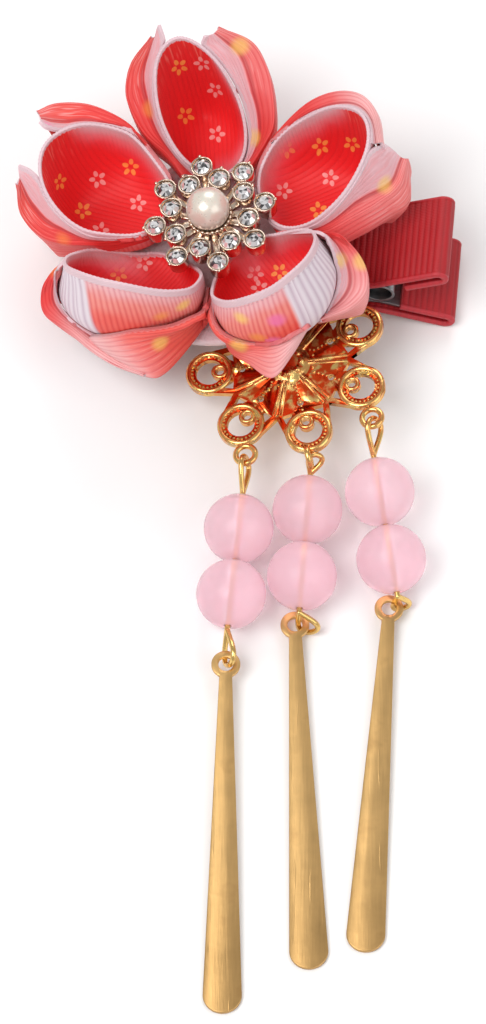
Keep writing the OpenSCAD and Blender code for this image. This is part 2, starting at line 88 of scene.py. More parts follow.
OUTER_RING = 6.45
INNER_RING = 4.6
STONES = 8
STONE_PHASE = 8.6
STONE_D = 2.0
CUP_R = STONE_D / 2 + 0.28
PEARL_D = 5.0
PEARL_Z = BROOCH_HEIGHT + 1.16
ORNAMENT_AT = (7.6, -15.4)
SHEET_TOP = -FELT_T - 0.45
LOBES = 7
LOBE_PHASE = 181.5
LOBE_RING = 9.2
WIRE_D = 0.65
BEAD_D = 8.0

# Petals: azimuth, inner and outer end of the rim, half width, rim height at both ends, lean, how far
# the outer end turns aside, how much the inner end narrows, and the side on which the print fades
# to pink: 1 is counter-clockwise, and 0 the outer end of the far wall.
Petal = namedtuple("Petal", "azimuth inner reach half low high lean skew narrow fade_side")
PETALS = {
    "petal_1": Petal(93, 7.2, 19.0, 5.0, 3.4, 16.0, 0.5, 0.7, 0.1, -1),
    "petal_2": Petal(19, 5.7, 20.6, 6.3, 4.8, 15.2, 0.0, -0.8, -0.1, 1),
    "petal_3": Petal(308, 4.1, 17.5, 7.2, 4.4, 15.5, 0.0, 0.0, 0.1, 1),
    "petal_4": Petal(226, 4.8, 18.4, 7.5, 3.4, 17.7, 0.45, -1.8, -0.1, 0),
    "petal_5": Petal(160, 5.3, 19.5, 7.8, 5.8, 14.6, 0.12, 0.3, 0.2, -1),
}
# How far in mm a cup's wall swells below its rim, on the counter-clockwise and on the clockwise side,
# and the cosines of the rim's angle between which that grows.
BELLY = {"petal_3": (1.7, 1.5, -0.6, 0.2), "petal_4": (0.3, 2.9, 0.0, 0.6)}
# Rims that reach over or under the next petal, by side.
OVERHANG = {("petal_5", 1): 0.7, ("petal_4", -1): 1.0}
# The back of the ribbon is white beyond this far across the cup, counted to one side.
WHITE_BACK = {"petal_3": (1, -1.2), "petal_4": (-1, 0.2)}
# Blossoms of the print inside the cups: place in the petal's frame, and 0 for yellow or 1 for pale ink.
BLOSSOMS = {
    "petal_1": [(18.1, 2.1, 10.7, 0), (18.2, -0.6, 10.5, 1), (17.5, -1.2, 5.5, 1), (16.0, 2.8, 3.3, 0),
                (14.3, -0.4, 1.0, 1)],
    "petal_2": [(18.2, 2.6, 6.2, 0), (14.8, 4.7, 4.8, 0), (14.5, 2.3, 1.4, 1), (11.9, -0.9, 1.0, 0),
                (9.0, 2.9, 1.5, 1), (11.0, 5.7, 5.3, 0)],
    "petal_3": [(8.2, 2.6, 1.2, 0), (8.1, -0.4, 1.0, 1), (6.3, 0.4, 1.1, 1)],
    "petal_4": [(10.7, -6.1, 1.5, 0), (7.7, -4.8, 1.4, 1)],
    "petal_5": [(18.7, 0.1, 6.8, 0), (16.9, 0.3, 1.2, 0), (16.1, -3.4, 2.7, 1), (12.7, -5.6, 3.2, 0),
                (11.0, -2.3, 1.1, 1), (14.0, 2.2, 1.1, 1)],
}
# Soft stains of ink outside: place, and 0 for yellow, 1 for magenta or 2 for orange.
STAINS = {
    "petal_1": [(19.0, -5.3, 11.9, 0), (13.6, 5.9, 9.7, 2), (11.1, -5.3, 4.5, 0), (12.0, 3.5, 2.7, 0)],
    "petal_2": [(19.8, -4.9, 7.7, 0)],
    "petal_3": [(14.5, -6.4, 9.4, 0), (15.5, -5.1, 6.0, 2), (17.2, -3.2, 9.2, 1), (14.0, -7.5, 3.7, 0),
                (16.3, -3.9, 5.2, 1), (15.7, 7.2, 7.7, 0), (16.5, 9.3, 6.2, 0)],
    "petal_4": [(11.2, 7.3, 9.6, 0), (13.8, 6.1, 9.3, 2), (15.2, 6.4, 5.6, 0), (17.4, -7.1, 11.3, 2)],
    "petal_5": [(15.2, 7.1, 7.6, 2), (19.8, -2.6, 14.5, 1)],
}
# The side from which the print is laid out round.
FROM_ABOVE = Vector((0, -cos(radians(62.1)), sin(radians(62.1))))
# Ears, from the brooch to their free end. The inner edge follows the rim at these angles and goes
# on through the points of edge; crest is the top of the outer roll, and foot the last points of
# the line where the ear ends below. y counts away from the petal's own middle line. crease is how
# wide the inner leaf is at the free end, as a share of the way to the crest, and pale is how far the
# free end has faded. An ear without a rim is a single leaf low on the cup.
HUG = (166, 140, 113, 88, 62, 46)
EARS = {
    ("petal_1", 1): dict(rim=HUG + (36,), edge=[(18.5, 2.9, 16.4), (20.1, 3.3, 17.1)], bulge=0.9, crease=0.72,
                         crest=[(7.4, 3.2, 4.6), (9.7, 4.7, 6.0), (11.6, 6.7, 7.5), (14.0, 7.9, 9.0),
                                (16.1, 8.2, 10.5), (18.5, 7.1, 12.2), (20.0, 4.5, 14.6)],
                         foot=[(17.5, 5.4, 0.6), (19.0, 4.6, 2.5)]),
    ("petal_1", -1): dict(rim=HUG + (34, 24), edge=[(19.0, 1.8, 14.8)], bulge=0.8, crease=0.7, pale=0.25,
                          crest=[(7.4, 4.4, 4.4), (9.5, 6.6, 6.0), (11.1, 7.7, 7.0), (13.9, 8.0, 8.5),
                                 (16.9, 7.7, 10.2), (19.2, 6.4, 12.0), (20.4, 3.2, 14.0)],
                          foot=[(17.5, 5.0, 0.6), (19.0, 3.4, 2.5)]),
    ("petal_2", 1): dict(rim=HUG + (30, 12, -6, -25), edge=[], bulge=0.7, crease=0.5, pale=0.85,
                         crest=[(6.4, 3.4, 4.4), (8.9, 5.5, 6.5), (10.8, 6.5, 8.0), (14.9, 7.1, 10.3),
                                (18.3, 6.4, 11.6), (20.7, 4.0, 13.2), (21.6, 1.2, 13.4), (21.1, -2.6, 12.6)],
                         foot=[(19.4, 4.6, 2.0), (21.0, 2.4, 6.0), (20.8, -2.6, 9.6)]),
    ("petal_2", -1): dict(rim=HUG + (36,), edge=[(20.6, 3.1, 12.8), (21.6, 1.3, 9.8)], bulge=1.5, crease=0.8,
                          pale=0.3,
                          crest=[(6.4, 3.6, 3.9), (9.6, 6.0, 6.0), (11.8, 7.1, 6.5), (15.1, 6.9, 7.0),
                                 (18.4, 6.3, 7.0), (21.1, 5.2, 6.8), (23.3, 2.6, 7.2)],
                          foot=[(19.6, 5.6, 0.4), (21.6, 3.6, 2.2)]),
    ("petal_3", 1): dict(rim=(166, 140, 120),
                         edge=[(12.5, 7.1, 10.8), (14.0, 7.1, 10.0), (14.9, 6.7, 8.3), (15.5, 6.0, 6.0),
                               (16.0, 4.8, 4.9), (16.4, 3.3, 4.0), (17.0, 1.2, 4.4)], bulge=0.5, crease=0.5,
                         pale=0.65,
                         crest=[(5.8, 3.2, 3.8), (9.0, 6.2, 6.5), (13.4, 8.3, 9.8), (14.8, 9.1, 7.8),
                                (16.4, 9.1, 6.3), (17.9, 8.4, 5.3), (18.8, 7.0, 4.4), (18.6, 4.6, 3.8),
                                (18.2, 1.4, 4.8)],
                         foot=[(17.4, 3.4, 0.8), (17.2, 1.4, 2.2)]),
    ("petal_3", -1): dict(rim=(), edge=[], bulge=0.25, crease=0.5,
                          crest=[(5.4, 3.8, 3.6), (7.6, 6.0, 5.0), (9.8, 7.9, 6.2), (11.8, 8.4, 5.4),
                                 (13.7, 7.4, 4.2), (15.2, 5.6, 3.7), (16.8, 3.8, 4.8), (18.0, 2.1, 6.0),
                                 (18.4, 0.2, 6.3)],
                          foot=[(5.2, 3.4, 0.3), (7.4, 5.4, 0.3), (9.4, 7.0, 0.5), (12.4, 8.1, 1.0),
                                (15.3, 7.6, 1.4), (19.0, 6.8, 2.0), (18.9, 3.4, 3.2), (18.4, 0.0, 5.4)]),
    ("petal_4", 1): dict(rim=(), edge=[], bulge=0.35, crease=0.5,
                         crest=[(6.2, 5.0, 4.5), (8.9, 7.8, 6.1), (11.3, 7.8, 7.2), (13.2, 7.1, 7.4),
                                (15.4, 5.7, 7.9), (17.0, 4.0, 7.8), (18.7, 1.4, 6.4), (19.4, -1.0, 4.6),
                                (19.9, -1.6, 4.0)],
                         foot=[(5.6, 4.4, 0.4), (8.2, 6.3, 1.2), (12.4, 7.2, 1.4), (16.6, 7.6, 1.8),
                               (18.4, 6.6, 2.2), (19.4, 2.4, 2.4), (20.0, -1.2, 3.3)]),
    ("petal_4", -1): dict(rim=(166, 140, 113, 88, 62, 44),
                          edge=[(17.7, 6.3, 12.4), (18.5, 6.2, 10.2), (19.1, 5.8, 8.4), (19.4, 4.9, 7.0),
                                (19.0, 3.3, 5.7), (18.4, 1.4, 4.4), (18.0, -1.6, 3.2), (17.2, -4.8, 2.4)],
                          bulge=0.4, crease=0.5, pale=0.9,
                          crest=[(5.4, 3.2, 1.0), (8.4, 5.4, 2.2), (12.2, 7.8, 5.8), (16.2, 7.3, 10.2),
                                 (19.0, 7.1, 10.6), (20.3, 7.0, 8.6), (21.0, 6.1, 7.4), (20.8, 4.7, 6.5),
                                 (20.3, 2.9, 5.3), (20.1, 0.2, 4.1), (19.5, -3.2, 3.2), (18.6, -6.2, 2.8)],
                          foot=[(18.6, 7.2, 5.0), (19.6, 6.9, 4.2), (20.2, 5.6, 3.4), (20.2, 3.8, 2.8),
                                (20.0, 2.0, 2.4), (19.7, -0.2, 2.2), (19.1, -3.3, 2.0), (18.3, -6.3, 2.0)]),
    ("petal_5", 1): dict(rim=HUG + (32,), edge=[(19.7, 3.4, 14.5), (21.2, 3.1, 14.6)], bulge=0.2, crease=0.65,
                         crest=[(6.4, 3.6, 5.9), (8.8, 5.4, 7.5), (11.6, 7.0, 8.3), (15.2, 7.7, 8.0),
                                (18.2, 7.4, 8.0), (20.6, 6.0, 9.2), (21.2, 4.4, 12.5)],
                         foot=[(6.6, 3.1, 4.9), (9.0, 4.9, 5.6), (11.7, 6.3, 4.8), (14.9, 6.3, 2.0),
                               (17.9, 6.2, 0.25), (18.8, 5.2, 0.4), (20.8, 3.6, 2.6)]),
    ("petal_5", -1): dict(rim=HUG + (30,), edge=[(19.8, 2.6, 14.5), (20.7, 3.1, 14.7)], bulge=0.8, crease=0.5,
                          crest=[(6.6, 3.2, 4.6), (9.4, 5.9, 7.0), (11.9, 7.6, 8.5), (14.3, 8.2, 9.7),
                                 (17.5, 8.1, 11.0), (20.6, 6.8, 12.0), (22.2, 5.1, 12.6)],
                          foot=[(18.8, 5.6, 0.5), (20.6, 5.2, 3.0)]),
}
# Strands: where the eye-pin passes the cast loop, both bead middles, where it passes the drop's
# hole, and how far the upper and the lower eye are turned about their own length.
STRANDS = {
    "left": ((0.3, 4.1, 5.6), (-0.49, -4.58, 4.65), (-1.34, -12.67, 4.0), (-1.5, -21.05, 2.75), (106, 70)),
    "middle": ((8.46, 3.57, 7.18), (7.34, -2.35, 5.0), (6.71, -10.35, 4.0), (7.8, -15.75, 0.6), (144, -117)),
    "right": ((15.0, 7.8, 8.1), (15.58, -0.38, 5.6), (16.86, -8.2, 4.0), (18.15, -12.6, 0.42), (-58, -110)),
}


# ---------------------------------------------------------------- properties
class RibbonSettings(bpy.types.PropertyGroup):
    """Printed ribbon of the petals and plain ribbon of the clip."""
    thickness: FloatProperty(name="Petal ribbon thickness", description="Thickness of the folded petal ribbon",
                             default=0.38 * MM, min=0.2 * MM, max=0.8 * MM, unit='LENGTH')
    cover_thickness: FloatProperty(name="Cover thickness", description="Thickness of the ribbon on the clip",
                                   default=0.8 * MM, min=0.4 * MM, max=1.0 * MM, unit='LENGTH')
    cover_ribs: FloatProperty(name="Cover rib spacing", description="Distance between two ribs of the clip's ribbon",
                              default=0.74 * MM, min=0.5 * MM, max=1.5 * MM, unit='LENGTH')
    cup_red: FloatVectorProperty(name="Cup red", description="Ground colour inside the cups", subtype='COLOR',
                                 size=3, default=(0.76, 0.010, 0.014), min=0, max=1)
    coral: FloatVectorProperty(name="Coral", description="Colour of the outer layers", subtype='COLOR',
                               size=3, default=(0.76, 0.034, 0.022), min=0, max=1)
    pink: FloatVectorProperty(name="Pink", description="Colour that the print fades to", subtype='COLOR',
                              size=3, default=(0.78, 0.30, 0.33), min=0, max=1)
    selvage: FloatVectorProperty(name="Selvage", description="Colour of the woven edge", subtype='COLOR',
                                 size=3, default=(0.70, 0.50, 0.54), min=0, max=1)
    cover_red: FloatVectorProperty(name="Clip red", description="Colour of the ribbon on the clip", subtype='COLOR',
                                   size=3, default=(0.40, 0.002, 0.007), min=0, max=1)


class BroochSettings(bpy.types.PropertyGroup):
    """Rhinestone brooch."""
    cup_height: FloatProperty(name="Cup height", description="Height of a stone's cup", default=2.0 * MM,
                              min=1.0 * MM, max=3.0 * MM, unit='LENGTH')
    grain: FloatProperty(name="Grain radius", description="Radius of the grains that hold the stones",
                         default=0.2 * MM, min=0.1 * MM, max=0.3 * MM, unit='LENGTH')
    metal: FloatVectorProperty(name="Brooch metal", description="Colour of the brooch", subtype='COLOR',
                               size=3, default=(0.75, 0.60, 0.48), min=0, max=1)
    pearl: FloatVectorProperty(name="Pearl", description="Body colour of the pearl", subtype='COLOR',
                               size=3, default=(0.74, 0.69, 0.60), min=0, max=1)


class StrandSettings(bpy.types.PropertyGroup):
    """Pierced ornament, eye-pins, beads and drops."""
    gold: FloatVectorProperty(name="Gold", description="Colour of the plated parts", subtype='COLOR',
                              size=3, default=(0.83, 0.56, 0.20), min=0, max=1)
    drop_gold: FloatVectorProperty(name="Drop gold", description="Colour of the brushed drops", subtype='COLOR',
                                   size=3, default=(0.72, 0.45, 0.18), min=0, max=1)
    bead: FloatVectorProperty(name="Bead", description="Colour of the beads", subtype='COLOR',
                              size=3, default=(1.0, 0.70, 0.765), min=0, max=1)
    grains: IntProperty(name="Grains", description="Number of grains on each lobe of the ornament",
                        default=26, min=12, max=32)


class StageSettings(bpy.types.PropertyGroup):
    """Floor, lights and camera."""
    distance: FloatProperty(name="Camera distance", description="Distance from the camera to the part",
                            default=1.5, min=0.5, max=3.0, unit='LENGTH')
    elevation: FloatProperty(name="Camera elevation", description="Angle of the camera above the table",
                             default=radians(62.1), min=0, max=radians(90), subtype='ANGLE')
    frame_height: FloatProperty(name="Frame height", description="Height of the picture at the part",
                                default=117.03 * MM, min=0.05, max=0.3, unit='LENGTH')
    light: FloatProperty(name="Light", description="Brightness of the studio lights", default=1.0, min=0.1, max=4.0)


class BarretteSettings(bpy.types.PropertyGroup):
    """All sizes and colours of the barrette."""
    ribbon: PointerProperty(type=RibbonSettings)
    brooch: PointerProperty(type=BroochSettings)
    strand: PointerProperty(type=StrandSettings)
    stage: PointerProperty(type=StageSettings)


def settings():
    return bpy.context.scene.barrette


# ---------------------------------------------------------------- shader expressions
class Value:
    """A socket's value in a material, for use in Python expressions."""

    def __init__(self, kit, node, output=0):
        self.kit = kit
        self.node = node
        self.socket = node.outputs[output]

    def out(self, output):
        return Value(self.kit, self.node, output)

    def math(self, operation, *others):
        return self.kit.node('ShaderNodeMath', {'operation': operation}, dict(enumerate((self,) + others)))

    def __add__(self, other):
        return self.math('ADD', other)

    def __sub__(self, other):
        return self.math('SUBTRACT', other)

    def __rsub__(self, other):
        return self.kit.node('ShaderNodeMath', {'operation': 'SUBTRACT'}, {0: other, 1: self})

    def __mul__(self, other):
        return self.math('MULTIPLY', other)

    def __pow__(self, other):
        return self.math('POWER', other)

    __radd__ = __add__
    __rmul__ = __mul__


class MaterialKit:
    """Builds one material from expressions."""

    def __init__(self, name):
        self.material = bpy.data.materials.new(name)
        self.material.use_nodes = True
        self.tree = self.material.node_tree
        self.tree.nodes.clear()
        self.surface = self.tree.nodes.new('ShaderNodeOutputMaterial')

    def node(self, kind, options=None, sockets=None, output=0):
        node = self.tree.nodes.new(kind)
        for name, value in (options or {}).items():
            if name == 'stops':
                ramp = node.color_ramp
                while len(ramp.elements) < len(value):
                    ramp.elements.new(0.5)
                for element, (place, colour) in zip(ramp.elements, value):
                    element.position = place
                    element.color = (*colour, 1.0)
            else:
                setattr(node, name, value)
        for name, value in (sockets or {}).items():
            if isinstance(value, Value):
                self.tree.links.new(value.socket, node.inputs[name])
            elif hasattr(value, '__len__') and node.inputs[name].type == 'RGBA' and len(value) == 3:
                node.inputs[name].default_value = (*value, 1.0)
            else:
                node.inputs[name].default_value = value
        return Value(self, node, output)

    def smooth(self, value, low, high):
        return self.node('ShaderNodeMapRange', {'interpolation_type': 'SMOOTHSTEP'},
                         {'Value': value, 'From Min': low, 'From Max': high})

    def mix(self, factor, first, second):
        return self.node('ShaderNodeMix', {'data_type': 'RGBA'}, {0: factor, 6: first, 7: second}, output=2)

    def noise(self, vector, scale, detail=2.0, rough=0.5):
        return self.node('ShaderNodeTexNoise', {}, {'Vector': vector, 'Scale': scale, 'Detail': detail,
                                                    'Roughness': rough})

    def vector(self, x, y, z=0.0):
        return self.node('ShaderNodeCombineXYZ', {}, {0: x, 1: y, 2: z})

    def uv(self, layer):
        split = self.node('ShaderNodeSeparateXYZ', {}, {0: self.node('ShaderNodeUVMap', {'uv_map': layer})})
        return split, split.out(1)

    def place(self):
        return self.node('ShaderNodeTexCoord', {}, {}, output='Object')

    def place_y(self):
        return self.node('ShaderNodeSeparateXYZ', {}, {0: self.place()}).out(1)

    def stretched(self, scale, turned=0.0):
        """The piece's own coordinates, turned and drawn out along an axis."""
        return self.node('ShaderNodeMapping', {}, {'Vector': self.place(), 'Rotation': (0, 0, turned), 'Scale': scale})

    def bump(self, height, distance):
        return self.node('ShaderNodeBump', {}, {'Height': height, 'Distance': distance})

    def finish(self, **sockets):
        named = {name.replace('_', ' '): value for name, value in sockets.items()}
        shader = self.node('ShaderNodeBsdfPrincipled', {}, named)
        self.tree.links.new(shader.socket, self.surface.inputs['Surface'])
        return self.material


# Distance in mm between two scallops of the ribbon's woven edge, and ribs across an ear.
SCALLOP = 0.72
EAR_RIBS = 19

# Faces further than this in mm from a blossom are moved out of its drawing, by BEYOND. Pale ink is
# marked by PALE_MARK, which the material takes off again.
BLOOM_REACH = 1.8
BEYOND = 10
PALE_MARK = 40

_materials = {}


def material(name):
    """Builds each material once."""
    if name not in _materials:
        _materials[name] = MATERIALS[name]()
    return _materials[name]


def rib_height(value, pitch, softness=0.6):
    """Rounded ribs: 0 in the grooves and 1 on top."""
    return (value * (pi / pitch)).math('SINE').math('ABSOLUTE') ** softness


def wave(value, pitch):
    return (value * (2 * pi / pitch)).math('SINE')


def twill_lines(along, depth):
    """Slanting lines of a woven edge."""
    return (along * 9.0 + depth * 12.0).math('SINE') * 0.5 + 0.5


def shades(colour, dark, light, lift=0.0):
    """A darker and a lighter version of a colour."""
    return tuple(c * dark for c in colour), tuple(min(1, c * light + lift) for c in colour)


def blossom_mask(kit):
    """Five drops of ink round a gap, from the blossom's own coordinates, and the ink's kind."""
    across, along = kit.uv("bloom")
    pale = across.math('GREATER_THAN', PALE_MARK / 2)
    across = across - pale * PALE_MARK
    radius = (across * across + along * along).math('SQRT')
    angle = along.math('ARCTAN2', across)
    turned = (angle * (5 / (2 * pi)) + 10.25).math('FRACT') - 0.5
    side = (turned * (2 * pi / 5)).math('SINE') * radius * (1 / 0.27)
    outward_from = (radius - 0.66) * (1 / 0.37)
    inside = kit.smooth((side * side + outward_from * outward_from).math('SQRT'), 1.08, 0.8)
    return inside, pale


def cup_inside():
    look = settings().ribbon
    kit = MaterialKit("printed_ribbon_inside")
    across, round_rim = kit.uv("ribs")
    depth, wall = kit.uv("depth")
    fade, inward = kit.uv("tone")
    floor_ribs = rib_height(across, 0.56)
    wall_ribs = rib_height(round_rim, 0.56)
    ribs = floor_ribs * (1 - wall) + wall_ribs * wall
    drift = kit.noise(kit.vector(across * 0.5, inward * 0.2), 1.0)
    fine = kit.noise(kit.vector(across * 2.2, inward * 0.22), 1.0, 1.0)
    # Deep red ground with slightly darker grooves: painted shade between the ribs.
    red = kit.mix(ribs * 0.35 + fine * 0.25 + drift * 0.4, *shades(look.cup_red, 0.86, 1.16, 0.004))
    red = kit.mix(kit.smooth(inward + drift * 3.0, 7.0, 1.0) * 0.45, red, look.coral)
    # Painted highlights: light streaks on the tops of some ribs at the outer end.
    rib_top_highlights = kit.smooth(fine, 0.52, 0.68) * kit.smooth(inward, 7.5, 2.0) * kit.smooth(floor_ribs, 0.5, 0.9)
    red = kit.mix(rib_top_highlights * (1 - fade) * 0.45, red, (0.90, 0.30, 0.24))
    bloom, pale = blossom_mask(kit)
    ink = kit.mix(pale, (0.93, 0.38, 0.07), (0.90, 0.42, 0.40))
    red = kit.mix(bloom * (0.62 + drift * 0.36), red, ink)
    # Fade to pink and white towards the edge on one side.
    faded = kit.smooth(depth + drift * 2.4, 7.2, 2.0) * fade
    colour = kit.mix(faded, red, (0.86, 0.12, 0.16))
    colour = kit.mix(kit.smooth(depth + drift * 1.6, 5.0, 1.4) * fade, colour, look.pink)
    colour = kit.mix(kit.smooth(depth + drift, 2.8, 1.0) * fade * 0.8, colour, look.selvage)
    # The woven edge, with its scallops.
    edge = kit.smooth(depth + wave(round_rim, SCALLOP) * 0.07, 0.56, 0.44)
    twill = twill_lines(round_rim, depth)
    border = kit.mix(twill * 0.4 + drift * 0.4, *shades(look.selvage, 0.84, 1.16))
    colour = kit.mix(edge, colour, border)
    height = (ribs * (0.62 + 0.2 * drift)) * (1 - edge) + edge * (0.75 + twill * 0.16)
    weave = kit.noise(kit.vector(across * 9.0, inward * 9.0, round_rim * 9.0), 1.0, 1.0)
    return kit.finish(Base_Color=colour, Roughness=0.66 - ribs * 0.08, Sheen_Weight=0.05, Sheen_Roughness=0.4,
                      Normal=kit.bump(height + weave * 0.12, 0.045 * MM))


def stained(kit, colour, strength):
    """Soft stains of yellow, magenta or orange ink over a colour."""
    apart, kind = kit.uv("stain")
    ink = kit.mix(kit.smooth(kind, 1.4, 1.6), (0.82, 0.16, 0.38), (0.88, 0.28, 0.05))
    ink = kit.mix(kit.smooth(kind, 0.4, 0.6), (0.90, 0.60, 0.12), ink)
    return kit.mix(kit.smooth(apart, 1.5, 0.45) * strength, colour, ink)


def cup_outside():
    look = settings().ribbon
    kit = MaterialKit("printed_ribbon_outside")
    _, round_rim = kit.uv("ribs")
    depth, _ = kit.uv("depth")
    white_part, _ = kit.uv("back")
    ribs = rib_height(round_rim, 0.62, 1.4) * (1 - white_part) + rib_height(round_rim, 0.86, 1.2) * white_part
    drift = kit.noise(kit.vector(round_rim * 0.33, depth * 0.3), 1.0)
    # Each colour is painted darker in the rib grooves and lighter on the rib tops: painted shade and highlight.
    white = kit.mix(ribs, (0.58, 0.45, 0.53), (0.76, 0.67, 0.72))
    pinkish = kit.mix(ribs, (0.74, 0.31, 0.34), (0.84, 0.46, 0.48))
    salmon = kit.mix(ribs, (0.74, 0.14, 0.12), (0.84, 0.26, 0.22))
    coral = kit.mix(ribs, (0.72, 0.04, 0.03), (0.82, 0.10, 0.07))
    tinted = kit.mix(kit.smooth(depth + drift * 3.0, 2.6, 6.2), pinkish, salmon)
    tinted = kit.mix(kit.smooth(depth + drift * 4.0, 6.4, 11.0), tinted, coral)
    tinted = stained(kit, tinted, 0.8)
    colour = kit.mix(white_part, tinted, white)
    edge = kit.smooth(depth, 1.25, 1.10)
    stitch = kit.smooth((depth - 1.42).math('ABSOLUTE'), 0.09, 0.04)
    dots = kit.smooth(wave(round_rim, 0.7), -0.2, 0.5)
    twill = twill_lines(round_rim, depth)
    border = kit.mix(twill * 0.15 + drift * 0.6, *shades(look.selvage, 0.86, 1.2))
    colour = kit.mix(edge, colour, border)
    colour = kit.mix(stitch * dots * 0.45, colour, (0.44, 0.24, 0.30))
    height = ribs * (0.5 + white_part * 0.3) * (1 - edge) + edge * (0.6 + twill * 0.06) - stitch * dots * 0.3
    return kit.finish(Base_Color=colour, Roughness=0.58, Normal=kit.bump(height, 0.07 * MM),
                      Sheen_Weight=0.05, Sheen_Roughness=0.4)


def ribbon_edge():
    look = settings().ribbon
    kit = MaterialKit("ribbon_edge")
    grain = kit.noise(kit.place(), 2600.0, 2.0)
    broad = kit.noise(kit.place(), 260.0, 1.0)
    colour = kit.mix(grain * 0.7 + broad * 0.3, *shades(look.selvage, 0.82, 1.22))
    return kit.finish(Base_Color=colour, Roughness=0.6, Normal=kit.bump(grain, 0.06 * MM),
                      Sheen_Weight=0.3, Sheen_Roughness=0.4)


def ear_layers(name, inner):
    """Outer layers: a pale leaf runs into a crease painted dark with shade, then the coral roll. A front ear is one
    leaf.
    """
    look = settings().ribbon
    kit = MaterialKit(name)
    section, along = kit.uv("ribs")
    from_edge, from_end = kit.uv("depth")
    single, paleness = kit.uv("leaf")
    ribs = rib_height(section, 1 / EAR_RIBS)
    fine = kit.noise(kit.vector(section * 26.0, along * 0.3), 1.0, 1.0)
    drift = kit.noise(kit.vector(section * 3.0, along * 0.22, 2.0), 1.0)
    # The roll: red by the brooch, coral further out, with painted highlight on its ribs and painted shade in its
    # grooves.
    far = kit.smooth(from_end + drift * 6.0, 13.0, 5.0)
    coral = kit.mix(far, look.cup_red, look.coral)
    groove_shade, ridge_highlight = kit.mix(0.25, coral, (0.44, 0.0, 0.01)), kit.mix(0.12, coral, (0.95, 0.42, 0.34))
    coral = kit.mix(ribs * 0.5 + fine * 0.5, groove_shade, ridge_highlight)
    thread = kit.noise(kit.vector(section * 75.0, along * 0.28, 5.0), 1.0, 1.0)
    lines = kit.smooth(thread, 0.52, 0.66) * kit.smooth(from_end + drift * 5.0, 15.0, 5.0)
    coral = kit.mix(lines * 0.55, coral, (0.92, 0.46, 0.44))
    coral = kit.mix(kit.smooth(from_end + drift * 4.0 + section * 3.0, 8.0, 3.0) * 0.15, coral, look.pink)
    # The free end's faded pale pink, painted darker in the rib grooves and lighter on the ribs.
    faded_end_rib_shaded = kit.mix(ribs, (0.74, 0.26, 0.27), (0.88, 0.48, 0.48))
    coral = kit.mix(kit.smooth(from_end + drift * 5.0, 18.0, 7.5) * paleness, coral, faded_end_rib_shaded)
    # The leaf, and the painted shade of the crease between it and the roll.
    pale = kit.mix(drift, look.pink, shades(look.selvage, 1.0, 1.12)[1])
    pale = kit.mix(kit.smooth(fine, 0.46, 0.64) * 0.3, pale, (0.80, 0.24, 0.26))
    strip = kit.smooth(section + drift * 0.05, 0.385, 0.345)
    colour = kit.mix(strip, coral, pale)
    colour = kit.mix(kit.smooth((section - 0.375).math('ABSOLUTE'), 0.035, 0.01) * 0.6, colour, (0.42, 0.02, 0.03))
    # A front ear shades from coral to pale pink at its free end, painted darker in the rib grooves and lighter on the
    # ribs.
    front = kit.mix(ribs * 0.6 + fine * 0.4, (0.66, 0.025, 0.03), (0.83, 0.12, 0.09))
    front = kit.mix(lines * 0.35, front, (0.92, 0.52, 0.48))
    faded = kit.mix(ribs, (0.74, 0.34, 0.36), (0.86, 0.54, 0.54))
    front = kit.mix(kit.smooth(from_end + drift * 4.0, 11.0, 3.0) * 0.9, front, faded)
    colour = kit.mix(single, colour, front)
    colour = stained(kit, colour, 0.6)
    twill = twill_lines(along, from_edge)
    edge = kit.smooth(from_edge + wave(along, SCALLOP) * 0.06, 0.58, 0.46) * (1 - single * 0.75)
    border = kit.mix(twill * 0.2 + drift * 0.5, *shades(look.selvage, 0.88, 1.16))
    colour = kit.mix(edge, colour, border)
    if inner:
        colour = kit.mix(0.65, colour, (0.62, 0.05, 0.05))
    height = (ribs * 0.4 + fine * 0.2 + thread * 0.35) * (1 - edge) + edge * (0.6 + twill * 0.08)
    return kit.finish(Base_Color=colour, Roughness=0.55, Normal=kit.bump(height, 0.10 * MM),
                      Sheen_Weight=0.04, Sheen_Roughness=0.4)


def cover_ribbon():
    look = settings().ribbon
    kit = MaterialKit("red_ribbon")
    along, across = kit.uv("ribs")
    ribs = rib_height(along, look.cover_ribs / MM)
    thread = wave(across, 0.21) * 0.5 + 0.5
    broad = kit.noise(kit.vector(along * 0.4, across * 0.4), 1.0)
    slub = kit.noise(kit.vector(along * 6.0, across * 0.5), 1.0, 1.0)
    # Random tone, with painted shade in the rib grooves and painted highlight on the ribs.
    colour = kit.mix(ribs * 0.5 + broad * 0.3 + slub * 0.2, *shades(look.cover_red, 0.62, 1.1, 0.002))
    edge = kit.smooth(across.math('ABSOLUTE'), 4.84, 4.92)
    colour = kit.mix(edge * 0.35, colour, (0.62, 0.05, 0.07))
    return kit.finish(Base_Color=colour, Roughness=0.5 + slub * 0.12,
                      Normal=kit.bump(thread * 0.3 + slub * 0.3, 0.05 * MM), Sheen_Weight=0.05, Sheen_Roughness=0.35)


def felt():
    kit = MaterialKit("felt")
    fibre = kit.noise(kit.place(), 1500.0, 4.0, 0.7)
    broad = kit.noise(kit.place(), 250.0, 2.0)
    colour = kit.mix(fibre * 0.6 + broad * 0.4, (0.66, 0.48, 0.52), (0.90, 0.78, 0.80))
    return kit.finish(Base_Color=colour, Roughness=0.95, Normal=kit.bump(fibre, 0.25 * MM),
                      Sheen_Weight=0.4, Sheen_Roughness=0.6)


def brooch_metal():
    look = settings().brooch
    kit = MaterialKit("rose_gold")
    cloud = kit.noise(kit.place(), 900.0, 3.0)
    colour = kit.mix(cloud, *shades(look.metal, 0.82, 1.14))
    return kit.finish(Base_Color=colour, Metallic=1.0, Roughness=0.14 + cloud * 0.16, Normal=kit.bump(cloud, 0.03 * MM))


